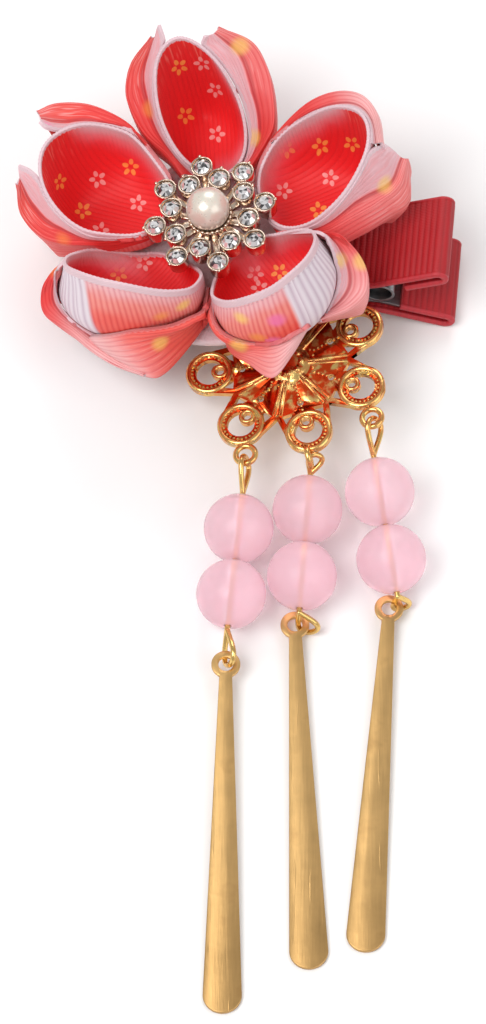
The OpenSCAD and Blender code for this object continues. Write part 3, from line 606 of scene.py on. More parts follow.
def gold(name, reflection_share):
    """Plated gold; near the petals a share of their red is painted in as their reflection."""
    look = settings().strand
    kit = MaterialKit(name)
    cloud = kit.noise(kit.place(), 700.0, 3.0)
    colour = kit.mix(cloud, *shades(look.gold, 0.84, 1.12))
    patch = kit.noise(kit.place(), 900.0, 2.0)
    petal_reflection_mask = kit.smooth(kit.place_y(), 0.002, 0.012) * reflection_share
    # Painted reflection of the petals' red, in patches, on the gold nearest them.
    colour = kit.mix(petal_reflection_mask * kit.smooth(patch, 0.34, 0.52), colour, (0.72, 0.075, 0.014))
    return kit.finish(Base_Color=colour, Metallic=1.0, Roughness=0.13 + cloud * 0.14, Normal=kit.bump(cloud, 0.04 * MM))


def brushed_gold():
    look = settings().strand
    kit = MaterialKit("brushed_gold")
    lines = kit.noise(kit.stretched((1.0, 0.03, 1.0)), 5200.0, 3.0, 0.6)
    blot = kit.noise(kit.place(), 240.0, 3.0, 0.6)
    scratch = kit.noise(kit.stretched((1.0, 0.05, 1.0), turned=0.5), 1800.0, 1.0)
    marks = kit.smooth(scratch, 0.70, 0.76)
    colour = kit.mix(lines * 0.4 + blot * 0.6, *shades(look.drop_gold, 0.72, 1.2))
    colour = kit.mix(kit.smooth(blot, 0.56, 0.72) * 0.4, colour, (0.40, 0.22, 0.08))
    # Painted dark reflection: the drops' lower ends are darker.
    colour = kit.mix(kit.smooth(kit.place_y() + blot * 0.01, -0.026, -0.052) * 0.45, colour, (0.36, 0.20, 0.07))
    return kit.finish(Base_Color=colour, Metallic=1.0, Roughness=0.24 + lines * 0.12 + blot * 0.12,
                      Normal=kit.bump(lines * 0.5 + marks * 0.5 + blot * 1.5, 0.03 * MM))


def steel():
    kit = MaterialKit("steel")
    lines = kit.noise(kit.stretched((0.06, 1.0, 1.0)), 3600.0, 2.0)
    colour = kit.mix(lines, (0.16, 0.16, 0.17), (0.36, 0.36, 0.37))
    return kit.finish(Base_Color=colour, Metallic=1.0, Roughness=0.26 + lines * 0.14, Normal=kit.bump(lines, 0.02 * MM))


def cut_stone():
    kit = MaterialKit("cut_stone")
    glint, _ = kit.uv("glint")
    cloud = kit.noise(kit.place(), 1500.0, 0.0)
    stops = [(0.0, (0.03, 0.03, 0.035)), (0.3, (0.16, 0.16, 0.17)), (0.5, (0.62, 0.62, 0.62)),
             (1.0, (0.97, 0.97, 0.98))]
    # Each facet's glint value paints its reflection light or dark.
    colour = kit.node('ShaderNodeValToRGB', {'stops': stops}, {0: glint * 0.9 + cloud * 0.1})
    return kit.finish(Base_Color=colour, Metallic=0.6, Roughness=0.06, Coat_Weight=1.0, Coat_Roughness=0.02)


def pearl_layer():
    look = settings().brooch
    kit = MaterialKit("pearl")
    cloud = kit.noise(kit.place(), 420.0, 2.0)
    fine = kit.noise(kit.place(), 2400.0, 2.0)
    colour = kit.mix(cloud, *shades(look.pearl, 0.9, 1.12))
    return kit.finish(Base_Color=colour, Metallic=0.25, Roughness=0.24 + fine * 0.1, Coat_Weight=0.7,
                      Coat_Roughness=0.12, Subsurface_Weight=0.2, Subsurface_Radius=(0.001, 0.0006, 0.0005),
                      Subsurface_Scale=1.0, Normal=kit.bump(fine, 0.01 * MM))


def bead_glass():
    look = settings().strand
    kit = MaterialKit("bead")
    cloud = kit.noise(kit.place(), 260.0, 3.0)
    colour = kit.mix(cloud, *shades(look.bead, 0.96, 1.05))
    # The faint emission in the bead's own colour is painted light: a glow that lifts its shade.
    return kit.finish(Base_Color=colour, Roughness=0.16 + cloud * 0.06, Transmission_Weight=0.7, IOR=1.28,
                      Subsurface_Weight=0.8, Subsurface_Radius=(0.005, 0.004, 0.004), Subsurface_Scale=1.0,
                      Emission_Color=colour, Emission_Strength=0.06)


def table_top():
    kit = MaterialKit("table_top")
    cloud = kit.noise(kit.place(), 12.0, 2.0)
    return kit.finish(Base_Color=kit.mix(cloud, (0.90, 0.90, 0.90), (0.93, 0.93, 0.93)), Roughness=0.8)


MATERIALS = {
    "cup_inside": cup_inside, "cup_outside": cup_outside, "ribbon_edge": ribbon_edge,
    "ear_outside": lambda: ear_layers("ear_outside", False), "ear_inside": lambda: ear_layers("ear_inside", True),
    "cover_ribbon": cover_ribbon, "felt": felt, "brooch_metal": brooch_metal, "gold": lambda: gold("gold", 0.3),
    "gold_painted_reflection": lambda: gold("gold_painted_reflection", 1.0),
    "brushed_gold": brushed_gold, "steel": steel, "cut_stone": cut_stone, "pearl": pearl_layer,
    "bead": bead_glass, "table_top": table_top,
}


# ---------------------------------------------------------------- frames and mesh helpers
def turn(angle, axis):
    return Matrix.Rotation(radians(angle), 4, axis)


CLIP_FRAME = Matrix.Translation(PLAN_SHIFT + HINGE_AT) @ turn(-CLIP_YAW, 'Z')
_tilt = radians(UPPER_TILT)
FLOWER_FRAME = (CLIP_FRAME
                @ Matrix.Translation((-FLOWER_AT * cos(_tilt) - FELT_TOP * sin(_tilt), FLOWER_SIDE,
                                      -FLOWER_AT * sin(_tilt) + FELT_TOP * cos(_tilt)))
                @ turn(-UPPER_TILT, 'Y') @ turn(CLIP_YAW, 'Z'))


def placed(matrix, points):
    """Points in mm in a local frame, as metres in the world."""
    points = np.asarray(points, dtype=float).reshape(-1, 3)
    m = np.array(matrix)
    return (points @ m[:3, :3].T + m[:3, 3]) * MM


def deselect():
    if bpy.context.object and bpy.context.object.mode != 'OBJECT':
        bpy.ops.object.mode_set(mode='OBJECT')
    bpy.ops.object.select_all(action='DESELECT')


def activate(obj):
    deselect()
    obj.select_set(True)
    bpy.context.view_layer.objects.active = obj


def apply_all(obj):
    """Applies the modifiers of a piece."""
    activate(obj)
    for modifier in list(obj.modifiers):
        bpy.ops.object.modifier_apply(modifier=modifier.name)


def smooth(obj, angle=35):
    activate(obj)
    bpy.ops.object.shade_smooth_by_angle(angle=radians(angle))


def settle(obj, matrix):
    """Turns a piece made in mm round the origin into place, with its place in its mesh."""
    obj.data.transform(Matrix.Scale(MM, 4) @ matrix)
    obj.data.update()


def freeze():
    """Puts the place, turn and size of the selected object into its mesh, and gives the object."""
    bpy.ops.object.transform_apply(location=True, rotation=True, scale=True)
    return bpy.context.object


def linked(name, mesh):
    obj = bpy.data.objects.new(name, mesh)
    bpy.context.collection.objects.link(obj)
    return obj


def soften(obj, width, angle=30):
    """Adds a bevel on the edges that are sharper than an angle."""
    bevel = obj.modifiers.new("Edges", 'BEVEL')
    bevel.width = width
    bevel.segments = 2
    bevel.limit_method = 'ANGLE'
    bevel.angle_limit = radians(angle)


def outward_normals(obj):
    mesh = bmesh.new()
    mesh.from_mesh(obj.data)
    bmesh.ops.recalc_face_normals(mesh, faces=mesh.faces)
    mesh.to_mesh(obj.data)
    mesh.free()


def dress(obj, *materials):
    obj.data.materials.clear()
    for name in materials:
        obj.data.materials.append(material(name))


def hand_over(obj, body, node):
    """Sets the body a piece rides and hides the CAD node it replaces."""
    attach(obj, body)
    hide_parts(node)


def join(name, parts):
    deselect()
    for part in parts:
        part.select_set(True)
    bpy.context.view_layer.objects.active = parts[0]
    bpy.ops.object.join()
    parts[0].name = name
    parts[0].data.name = name
    return parts[0]


def mesh_object(name, points, faces, layers):
    """A mesh in metres. Each layer holds one pair of numbers for each corner of each face."""
    mesh = bpy.data.meshes.new(name)
    mesh.from_pydata([tuple(p) for p in points], [], [tuple(f) for f in faces])
    for layer, values in layers.items():
        data = mesh.uv_layers.new(name=layer).data
        data.foreach_set("uv", np.asarray(values, dtype=np.float32).ravel())
    return linked(name, mesh)


def grid_quads(rows, cols, closed=False):
    """Quads of a grid of points, as corners, with the rows closed into a ring if asked."""
    quads = []
    for i in range(rows if closed else rows - 1):
        for j in range(cols - 1):
            a, b = i * cols + j, ((i + 1) % rows) * cols + j
            quads.append((a, b, b + 1, a + 1))
    return np.array(quads)


def at_corners(quads, *grids):
    """The values of grids of points, at each corner of each face."""
    return np.stack([grid.reshape(-1)[quads] for grid in grids], axis=2)


def unit(vectors):
    return vectors / np.linalg.norm(vectors, axis=-1, keepdims=True)


def run_along(points):
    """How far each point of a line lies from its start."""
    return np.concatenate([[0], np.cumsum(np.linalg.norm(np.diff(points, axis=0), axis=1))])


def run_across(grid):
    """How far each point of a grid lies from its row's start."""
    run = np.zeros(grid.shape[:2])
    run[:, 1:] = np.cumsum(np.linalg.norm(np.diff(grid, axis=1), axis=2), axis=1)
    return run


def merge_close(obj, distance):
    mesh = bmesh.new()
    mesh.from_mesh(obj.data)
    bmesh.ops.remove_doubles(mesh, verts=mesh.verts, dist=distance)
    mesh.to_mesh(obj.data)
    mesh.free()


def curve_through(points, count):
    """Smooth curve through points, in cubic pieces."""
    p = np.asarray(points, dtype=float)
    p = np.vstack([2 * p[0] - p[1], p, 2 * p[-1] - p[-2]])
    steps = np.linspace(0, len(p) - 3, count)
    out = []
    for s in steps:
        i = min(int(s), len(p) - 4)
        t = s - i
        a, b, c, d = p[i], p[i + 1], p[i + 2], p[i + 3]
        out.append(0.5 * (2 * b + (c - a) * t + (2 * a - 5 * b + 4 * c - d) * t ** 2
                          + (3 * b - a - 3 * c + d) * t ** 3))
    return np.array(out)


def step(low, high, value):
    """0 up to low and 1 from high on, with a smooth way between."""
    t = np.clip((value - low) / (high - low), 0, 1)
    return t * t * (3 - 2 * t)


# ---------------------------------------------------------------- petals
ORDER = list(PETALS)


def rooms(name):
    """Half of the angle to the next petal, counter-clockwise and clockwise."""
    i = ORDER.index(name)
    here, ahead, behind = (PETALS[ORDER[k % len(ORDER)]].azimuth for k in (i, i - 1, i + 1))
    return ((ahead - here) % 360) / 2, ((here - behind) % 360) / 2


def wall_to_next(name, side, x):
    """How far to a side a petal may reach at x, in its own frame."""
    left, right = rooms(name)
    return x * tan(radians(left if side > 0 else right))


def gentle_min(first, second, blend=1.2):
    """The smaller of two lengths, with the corner between them rounded."""
    share = min(1.0, max(0.0, 0.5 + 0.5 * (second - first) / blend))
    return second + (first - second) * share - blend * share * (1 - share)


def rim_point(name, angle):
    """A point of a cup's rim, in mm in the petal's frame. Angle 0 is the outer end."""
    petal = PETALS[name]
    s = (1 + cos(angle)) / 2
    x = petal.inner + (petal.reach - petal.inner) * s
    y = petal.half * sin(angle) * (1 - 0.1 * cos(angle)) * (1 - petal.narrow * (1 - s) ** 2)
    z = petal.low + (petal.high - petal.low) * s - 1.6 * s * (1 - s) + petal.lean * y
    y += petal.skew * s * s
    side = 1 if y > 0 else -1
    room = wall_to_next(name, side, x) - 0.15 + OVERHANG.get((name, side), 0.0)
    return np.array([x, side * gentle_min(abs(y), room), z])


def keel_x(name):
    return (PETALS[name].inner + PETALS[name].reach) / 2


def outward(name, angle):
    d = rim_point(name, angle) - np.array([keel_x(name), 0, 0])
    d[2] = 0
    return unit(d)


def petal_frame(name):
    return FLOWER_FRAME @ turn(PETALS[name].azimuth, 'Z')


def surface_area(obj):
    mesh = bmesh.new()
    mesh.from_mesh(obj.data)
    area = sum(f.calc_area() for f in mesh.faces)
    mesh.free()
    return area


# The width of the ribbon as it is cut, and the least width of a leaf, in metres.
RIBBON_CUT = 0.016
LEAF_CUT = 0.010
# An ear lies at least this far in mm outside its own cup's inner face, so that the cup never shows
# through it and it never shows inside the cup.
EAR_GAP = 0.47
# The room in mm kept between an ear and the next petal's share of the flower.
EAR_ROOM = 0.08
# Points round a cup's rim and down its wall, and along an ear and across it.
CUP_AROUND, CUP_ROWS = 180, 26
EAR_ALONG, EAR_ACROSS = 72, 26
# How far in mm a cup's woven edge lies inside the rim curve, and its floor over the felt.
CUP_INSET = 0.5
CUP_FLOOR = 0.95
# How full a cup's section is: 1 is an ellipse.
CUP_CURVE = 0.72
# The cups' inner faces, for the ears.
CUP_WALLS = {}


def declare_ribbon(obj):
    """Works out a ribbon cut 16 mm wide, as long as its folded piece needs, with small leaves cut narrower; nothing
    uses the result.
    """
    area = surface_area(obj) / 2
    width = max(LEAF_CUT, min(RIBBON_CUT, sqrt(area)))
    max(LEAF_CUT, area / width)


def finish_ribbon(obj, *materials):
    """Thickness, softened edges, materials and the body the piece rides."""
    wall = obj.modifiers.new("Thickness", 'SOLIDIFY')
    wall.thickness = settings().ribbon.thickness
    wall.offset = -1
    wall.use_even_offset = False
    wall.material_offset = 1
    wall.material_offset_rim = 2
    soften(obj, 0.13 * MM, 55)
    dress(obj, *materials)
    apply_all(obj)
    smooth(obj, 50)
    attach(obj, FLOWER)
    declare_ribbon(obj)


def bloom_layer(name, points, quads):
    """Corners of each face, in mm from its nearest blossom and flat on the ribbon there."""
    spots = np.array(BLOSSOMS[name], dtype=float)
    face = points[quads]
    apart = np.linalg.norm(face.mean(axis=1)[:, None, :] - spots[None, :, :3], axis=2)
    nearest = apart.argmin(axis=1)
    normals = np.cross(face[:, 2] - face[:, 0], face[:, 3] - face[:, 1])
    view = np.array(petal_frame(name).to_3x3().inverted() @ FROM_ABOVE)
    layer = np.zeros(quads.shape + (2,))
    for i, (*place, kind) in enumerate(spots):
        normal = unit(normals[apart[:, i].argmin()])
        level = unit(np.cross(view, normal))
        slope = np.cross(normal, level) * max(0.6, abs(normal @ view))
        faces = nearest == i
        away = face[faces] - np.array(place)
        u, v, turned = away @ level, away @ slope, 0.7 * i
        beyond = np.where(apart[faces, i] > BLOOM_REACH, BEYOND, 0)[:, None]
        layer[faces, :, 0] = u * cos(turned) - v * sin(turned) + beyond + PALE_MARK * kind
        layer[faces, :, 1] = u * sin(turned) + v * cos(turned)
    return layer


def stain_layer(name, points, quads):
    """How far each corner is from its nearest stain, in mm, and the stain's kind."""
    spots = np.array(STAINS[name], dtype=float)
    face = points[quads]
    nearest = np.linalg.norm(face.mean(axis=1)[:, None, :] - spots[None, :, :3], axis=2).argmin(axis=1)
    apart = np.linalg.norm(face - spots[nearest, None, :3], axis=2)
    return np.stack([apart, np.repeat(spots[nearest, 3][:, None], 4, axis=1)], axis=2)


def build_cup(name):
    petal = PETALS[name]
    span = petal.reach - petal.inner
    angles = np.arange(CUP_AROUND) * 2 * pi / CUP_AROUND
    away = np.array([outward(name, a) for a in angles])
    rim = np.array([rim_point(name, a) for a in angles]) - CUP_INSET * away
    # The wall comes down from the rim to the keel, g across and h up, and swells by the belly.
    share = (1 + np.cos(angles)) / 2
    keel_at = petal.inner + (0.25 + 0.5 * share) * span
    keel_y = petal.skew * share ** 2
    f = np.linspace(0, pi / 2, CUP_ROWS) ** 1.15 / (pi / 2) ** 0.15
    g = np.cos(f) ** CUP_CURVE
    h = 1 - np.sin(f) ** CUP_CURVE
    left_belly, right_belly, slow, full = BELLY.get(name, (0.0, 0.0, 0.0, 1.0))
    belly = right_belly + (left_belly - right_belly) * (1 + np.sin(angles)) / 2
    belly *= np.clip((np.cos(angles) - slow) / (full - slow), 0, 1)
    swell = belly[:, None] * np.sin(pi * (1 - h) ** 1.6)[None, :]
    points = np.zeros((CUP_AROUND, CUP_ROWS, 3))
    points[:, :, 0] = keel_at[:, None] + (rim[:, 0] - keel_at)[:, None] * g + away[:, :1] * swell
    points[:, :, 1] = keel_y[:, None] + (rim[:, 1] - keel_y)[:, None] * g + away[:, 1:2] * swell
    points[:, :, 2] = CUP_FLOOR + (rim[:, 2] - CUP_FLOOR)[:, None] * h
    # A little life in the mouth: the ribbon waves slightly between its glued folds.
    waves = 0.12 * np.sin(3 * angles + petal.azimuth) + 0.07 * np.sin(7 * angles + 1.3)
    points[:, :, 2] += waves[:, None] * h ** 2
    # The woven edge is scalloped.
    points[:, :, 2] += 0.06 * np.cos(pi * np.arange(CUP_AROUND))[:, None] * h ** 12
    flat = points.reshape(-1, 3)
    quads = grid_quads(CUP_AROUND, CUP_ROWS, closed=True)
    CUP_WALLS[name] = BVHTree.FromPolygons([Vector(p) for p in flat], [list(q) for q in quads])

    depth = run_across(points)
    inward = depth + (petal.reach - CUP_INSET - rim[:, 0])[:, None]
    across = points[:, :, 1] / (0.8 + 0.2 * (points[:, :, 0] - petal.inner) / span)
    steep = np.maximum(step(0.80, 0.97, np.abs(np.sin(angles))), step(0.0, 0.35, -np.cos(angles)))
    wall = steep[:, None] * step(0.40, 0.62, h)
    if petal.fade_side:
        aside = petal.fade_side * np.sin(angles)
        fade = step(-0.75, 0.05, aside - 0.9 * np.cos(angles) - 0.45) * step(-0.35, 0.1, aside)
    else:
        fade = 1.6 * step(-0.1, 0.5, -np.sin(angles)) * step(-0.7, 0.0, np.cos(angles))
    white_side, white_from = WHITE_BACK.get(name, (1, 20.0))
    white = step(white_from - 0.25, white_from + 0.25, white_side * points[:, :, 1])
    # The last faces close the ring at the rim's full length.
    arc = run_along(np.vstack([rim, rim[:1]]))
    column = quads // CUP_ROWS
    closing = (column == 0) & (column.max(axis=1, keepdims=True) == CUP_AROUND - 1)
    round_rim = np.where(closing, arc[-1], arc[column])
    layers = {
        "ribs": np.stack([across.reshape(-1)[quads], round_rim], axis=2),
        "depth": at_corners(quads, depth, wall),
        "tone": at_corners(quads, np.repeat(fade[:, None], CUP_ROWS, axis=1), inward),
        "bloom": bloom_layer(name, flat, quads),
        "back": at_corners(quads, white, white),
        "stain": stain_layer(name, flat, quads),
    }
    cup = mesh_object(name + "_cup", placed(petal_frame(name), flat), quads, layers)
    merge_close(cup, 0.002 * MM)
    finish_ribbon(cup, "cup_inside", "cup_outside", "ribbon_edge")
    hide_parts(name)


def keep_outside(name, grid):
    """Moves the points of an ear that lie within its cup's wall out of it, and their neighbours along."""
    for rounding in (6, 3, 0):
        moves = np.zeros(grid.shape)
        for i, j in np.ndindex(grid.shape[:2]):
            point = Vector(grid[i, j])
            near, normal, index, _ = CUP_WALLS[name].find_nearest(point)
            above_rim = index % (CUP_ROWS - 1) == 0 and point.z > near.z
            outside = (near - point).dot(normal)
            if outside < EAR_GAP and not above_rim:
                moves[i, j] = normal * (outside - EAR_GAP)
        for _ in range(rounding):
            for axis in (0, 1):
                ends = np.pad(moves, [(1, 1) if a == axis else (0, 0) for a in range(3)], mode="edge")
                before, after = (ends[:-2], ends[2:]) if axis == 0 else (ends[:, :-2], ends[:, 2:])
                moves = (before + 2 * moves + after) / 4
        grid += moves


def build_ear(name, side):
    """A strip of ribbon that runs from the rim over a fold and a roll down to its foot."""
    shape = EARS[(name, side)]
    keel = np.array([keel_x(name), 0, 0])
    rim = shape["rim"]

    def mirrored(points):
        return [np.array([x, y * side, z]) for x, y, z in points]

    def below_rim(angle):
        a = radians(angle) * side
        return rim_point(name, a) + 0.02 * outward(name, a) - np.array([0, 0, 0.5])

    crest = mirrored(shape["crest"])
    edge = [below_rim(a) for a in rim] + mirrored(shape["edge"])
    if not edge:
        # A single leaf that hugs the cup: its edge lies just behind the crest.
        level = np.array([1, 1, 0])
        edge = [c + 0.45 * unit((keel - c) * level) + np.array([0, 0, 0.1]) for c in crest]
    foot = mirrored(shape["foot"])
    under = []
    for i, c in enumerate(crest[:len(crest) - len(foot)]):
        pull = 0.80 + 0.03 * i
        under.append(np.array([keel[0] + (c[0] - keel[0]) * pull, c[1] * (pull - 0.08), 0.25]))
    marks_along = np.linspace(0, len(edge) - 1, EAR_ALONG)
    edge, crest, foot = (curve_through(row, EAR_ALONG) for row in (edge, crest, under + foot))
    for i, mark in enumerate(marks_along):
        # Between the marks the edge keeps to the rim itself.
        if mark <= len(rim) - 1:
            edge[i] = below_rim(np.interp(mark, range(len(rim)), rim))

    # Seven lines along the ear, which close towards its free end.
    out = unit((crest - keel) * np.array([1, 1, 0]))
    up = np.array([0, 0, 1.0])
    lift = np.linspace(0, 1, EAR_ALONG)
    close = step(1.0, 0.85, lift)[:, None] * 0.5 + 0.5
    width = np.linalg.norm(crest - edge, axis=1, keepdims=True)
    turn_in = (0.5 + (shape["crease"] - 0.5) * step(0.3, 0.9, lift))[:, None]
    crease = edge + (crest - edge) * turn_in - up * (0.16 * width * close) - out * (0.06 * width)
    shoulder = edge + (crest - edge) * turn_in * 0.5 - out * (0.03 * width)
    roll_out = crest + out * (0.36 * close) - up * (0.62 * close)
    belly = crest + (foot - crest) * 0.5 + out * (shape["bulge"] * close)
    section = np.stack([edge, shoulder, crease, crest, roll_out, belly, foot], axis=1)
    section_at = np.array([0.0, 0.17, 0.36, 0.52, 0.62, 0.82, 1.0])
    grid = np.array([curve_through(lines, EAR_ACROSS) for lines in section])
    room = np.maximum(0.3, wall_to_next(name, side, grid[:, :, 0]) - EAR_ROOM)
    grid[:, :, 1] = side * np.minimum(grid[:, :, 1] * side, room)
    keep_outside(name, grid)

    quads = grid_quads(EAR_ALONG, EAR_ACROSS)
    if side < 0:
        quads = quads[:, ::-1]
    size = grid.shape[:2]
    place = np.interp(np.linspace(0, 1, EAR_ACROSS), np.linspace(0, 1, len(section_at)), section_at)
    run = run_along(crest)
    layers = {
        "ribs": at_corners(quads, np.broadcast_to(place, size), np.broadcast_to(run[:, None], size)),
        "depth": at_corners(quads, run_across(grid), np.broadcast_to((run[-1] - run)[:, None], size)),
        "leaf": np.tile([0.0 if rim else 1.0, shape.get("pale", 0.0)], quads.shape + (1,)),
        "stain": stain_layer(name, grid.reshape(-1, 3), quads),
    }
    label = name + ("_ear_left" if side > 0 else "_ear_right")
    ear = mesh_object(label, placed(petal_frame(name), grid.reshape(-1, 3)), quads, layers)
    finish_ribbon(ear, "ear_outside", "ear_inside", "ribbon_edge")


class BARRETTE_OT_petals(bpy.types.Operator):
    """Folds the five printed ribbon petals, each a cup with two ears"""
    bl_idname = "barrette.petals"
    bl_label = "Petals"

    def execute(self, context):
        for name in PETALS:
            build_cup(name)
            for side in (1, -1):
                build_ear(name, side)
        return {'FINISHED'}


class BARRETTE_OT_felt(bpy.types.Operator):
    """Cuts the felt disc behind the flower"""
    bl_idname = "barrette.felt"
    bl_label = "Felt pad"

    def execute(self, context):
        turns, r = 144, FELT_D / 2
        profile = [(0.001, 0.0), (r * 0.5, 0.02), (r * 0.85, 0.0), (r - 0.30, -0.03), (r - 0.08, -0.16), (r, -0.42),
                   (r, -0.78), (r - 0.08, -1.04), (r - 0.30, -1.16), (r * 0.85, -1.19), (r * 0.5, -1.2), (0.001, -1.2)]
        rng = np.random.default_rng(5)
        wobble = rng.normal(0, 0.035, (turns, len(profile)))
        points, quads = [], grid_quads(turns, len(profile), closed=True)
        for i in range(turns):
            a = 2 * pi * i / turns
            for j, (radius, z) in enumerate(profile):
                rough = radius + (wobble[i, j] if 2 < j < 9 else 0)
                points.append((rough * cos(a), rough * sin(a), z))
        pad = mesh_object("felt_pad_cloth", placed(FLOWER_FRAME, points), quads, {})
        merge_close(pad, 0.003 * MM)
        outward_normals(pad)
        dress(pad, "felt")
        smooth(pad, 60)
        hand_over(pad, FLOWER, "felt_pad")
        return {'FINISHED'}


# ---------------------------------------------------------------- clip
def side_path(side_sign, return_len):
    """Middle line of a cover from the side: along the jaw, over the corner, round the lever's end and back."""
    if side_sign > 0:
        jaw, lever = (90 + UPPER_TILT, 180 + UPPER_TILT), (90 + UPPER_RISE, UPPER_RISE)
    else:
        jaw, lever = (270 + LOWER_TILT, 180 + LOWER_TILT), (270 - LOWER_DROP, -LOWER_DROP)
    r = RIBBON_IN + RIBBON_T / 2

    def at(radius, normal, run, length):
        return np.array([radius * cos(radians(normal)) + length * cos(radians(run)),
                         radius * sin(radians(normal)) + length * sin(radians(run))])

    half_turn = (jaw[0] - lever[0]) / 2
    corner = at(r / cos(radians(half_turn)), (jaw[0] + lever[0]) / 2, 0, 0)
    start = at(r, jaw[0], jaw[1], JAW_LEN)
    end = at(r, lever[0], lever[1], LEVER_LEN)
    # The bend at the corner is a short arc.
    bend = 0.9
    before = corner + unit(start - corner) * bend
    after = corner + unit(end - corner) * bend
    path = [start, before]
    for t in (0.25, 0.5, 0.75):
        path.append((1 - t) ** 2 * before + 2 * t * (1 - t) * corner + t ** 2 * after)
    path += [after, end]
    along = np.array([cos(radians(lever[1])), sin(radians(lever[1]))])
    normal = np.array([-along[1], along[0]]) * side_sign
    middle = along * LEVER_LEN + normal * MID_R
    r_turn = WRAP_R - RIBBON_T / 2
    for a in np.arange(15, 181, 15):
        path.append(middle + r_turn * (normal * cos(radians(a)) + along * sin(radians(a))))
    path.append(path[-1] - along * return_len)
    return np.array(path)


def build_cover(name, node, body, side_sign, return_len):
    look = settings().ribbon
    path = side_path(side_sign, return_len)
    run = run_along(path)
    pitch = look.cover_ribs / MM
    count = int(run[-1] / pitch * 7)
    s = np.linspace(0, run[-1], count)
    line = np.stack([np.interp(s, run, path[:, 0]), np.interp(s, run, path[:, 1])], axis=1)
    tangent = unit(np.gradient(line, axis=0))
    for _ in range(3):
        tangent[1:-1] = (tangent[:-2] + tangent[1:-1] * 2 + tangent[2:]) / 4
    normal = np.stack([tangent[:, 1], -tangent[:, 0]], axis=1) * (-side_sign)
    rib = np.abs(np.sin(pi * s / pitch)) ** 0.7
    half_w = RIBBON_W / 2
    half_t = look.cover_thickness / MM / 2
    # From one edge to the middle: place, share of the thickness, and how far it is ribbed.
    stations = [(-half_w, 0.35, 0), (-half_w + 0.05, 0.75, 0), (-half_w + 0.2, 1.0, 0), (-half_w + 0.36, 0.98, 0),
                (-half_w + 0.44, 0.84, 0.2), (-half_w + 0.62, 0.84, 1), (0.0, 0.84, 1)]
    stations += [(-y, a, b) for y, a, b in stations[-2::-1]]
    ring = [(y, a, b, 1) for y, a, b in stations] + [(y, a, b, -1) for y, a, b in stations[::-1]]
    points, uv = [], []
    for i in range(count):
        for y, share, ribbed, face in ring:
            lift = face * (half_t * share + 0.12 * ribbed * (rib[i] - 0.25))
            p = line[i] + normal[i] * lift
            points.append((p[0], y, p[1]))
            uv.append((s[i], y))
    cols = len(ring)
    quads = []
    for i in range(count - 1):
        for j in range(cols):
            k = (j + 1) % cols
            quads.append((i * cols + j, i * cols + k, (i + 1) * cols + k, (i + 1) * cols + j))
    quads.append(tuple(range(cols - 1, -1, -1)))
    quads.append(tuple((count - 1) * cols + j for j in range(cols)))
    uv = np.array(uv)
    values = np.concatenate([uv[list(q)] for q in quads])
    cover = mesh_object(name, placed(CLIP_FRAME, points), quads, {"ribs": values})
    outward_normals(cover)
    dress(cover, "cover_ribbon")
    smooth(cover, 60)
    hand_over(cover, body, node)


def bevelled_copy(node, name, width, angle=30):
    """A copy of a CAD node with merged points, flat faces and bevelled edges."""
    obj = linked(name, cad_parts[node].data.copy())
    activate(obj)
    bpy.ops.object.mode_set(mode='EDIT')
    bpy.ops.mesh.select_all(action='SELECT')
    bpy.ops.mesh.remove_doubles(threshold=0.0005 * MM)
    bpy.ops.mesh.dissolve_limited(angle_limit=radians(1))
    bpy.ops.object.mode_set(mode='OBJECT')
    if width:
        soften(obj, width * MM, angle)
        apply_all(obj)
    return obj


class BARRETTE_OT_clip(bpy.types.Operator):
    """Covers the alligator clip with ribbed ribbon and finishes its steel"""
    bl_idname = "barrette.clip"
    bl_label = "Clip"

    def execute(self, context):
        build_cover("cover_upper", "ribbon_upper", FLOWER, 1, 4.5)
        build_cover("cover_lower", "ribbon_lower", LOWER_JAW, -1, 5.6)
        for node, name, body in (("clip_upper", "clip_upper_plate", FLOWER),
                                 ("clip_lower", "clip_lower_plate", LOWER_JAW),
                                 ("hinge_pin", "hinge_pin_steel", FLOWER)):
            plate = bevelled_copy(node, name, 0.08)
            dress(plate, "steel")
            smooth(plate, 35)
            hand_over(plate, body, node)
        return {'FINISHED'}


# ---------------------------------------------------------------- brooch
HUB_R = 2.5
ARM_FROM = 1.2
PEARL_GRAINS = 26
# How far in mm each new part of a cup's wall stands in: lip, then ledge.
CUP_LIP = 0.17
CUP_LEDGE = 0.12


def spoke(i):
    """The frame whose x axis runs out under a stone, and the stone's distance from the middle."""
    return FLOWER_FRAME @ turn(STONE_PHASE + 180 * i / STONES, 'Z'), (OUTER_RING, INNER_RING)[i % 2]


def stone_place(i):
    out, ring = spoke(i)
    return out @ Matrix.Translation((ring, 0, BROOCH_HEIGHT + (i % 2) * 0.3))


def copies(source, matrices, name):
    """One copy of a piece made in mm for each place, each with its own mesh."""
    made = []
    for i, matrix in enumerate(matrices):
        obj = linked(f"{name}_{i + 1:02d}", source.data.copy())
        settle(obj, matrix)
        made.append(obj)
    bpy.data.objects.remove(source)
    return made


def select_level(obj, way=1, limit=0.9):
    """In edit mode, selects just the faces that look straight up, or down if way is -1."""
    bpy.ops.mesh.select_mode(type='FACE')
    bpy.ops.mesh.select_all(action='DESELECT')
    mesh = bmesh.from_edit_mesh(obj.data)
    for face in mesh.faces:
        if face.normal.z * way > limit:
            face.select_set(True)
    bmesh.update_edit_mesh(obj.data)


def select_open_edges(obj):
    """In edit mode, selects just the edges of holes."""
    mesh = bmesh.from_edit_mesh(obj.data)
    for v in mesh.verts:
        v.select_set(False)
    for edge in mesh.edges:
        edge.select_set(edge.is_boundary)
    bmesh.update_edit_mesh(obj.data)


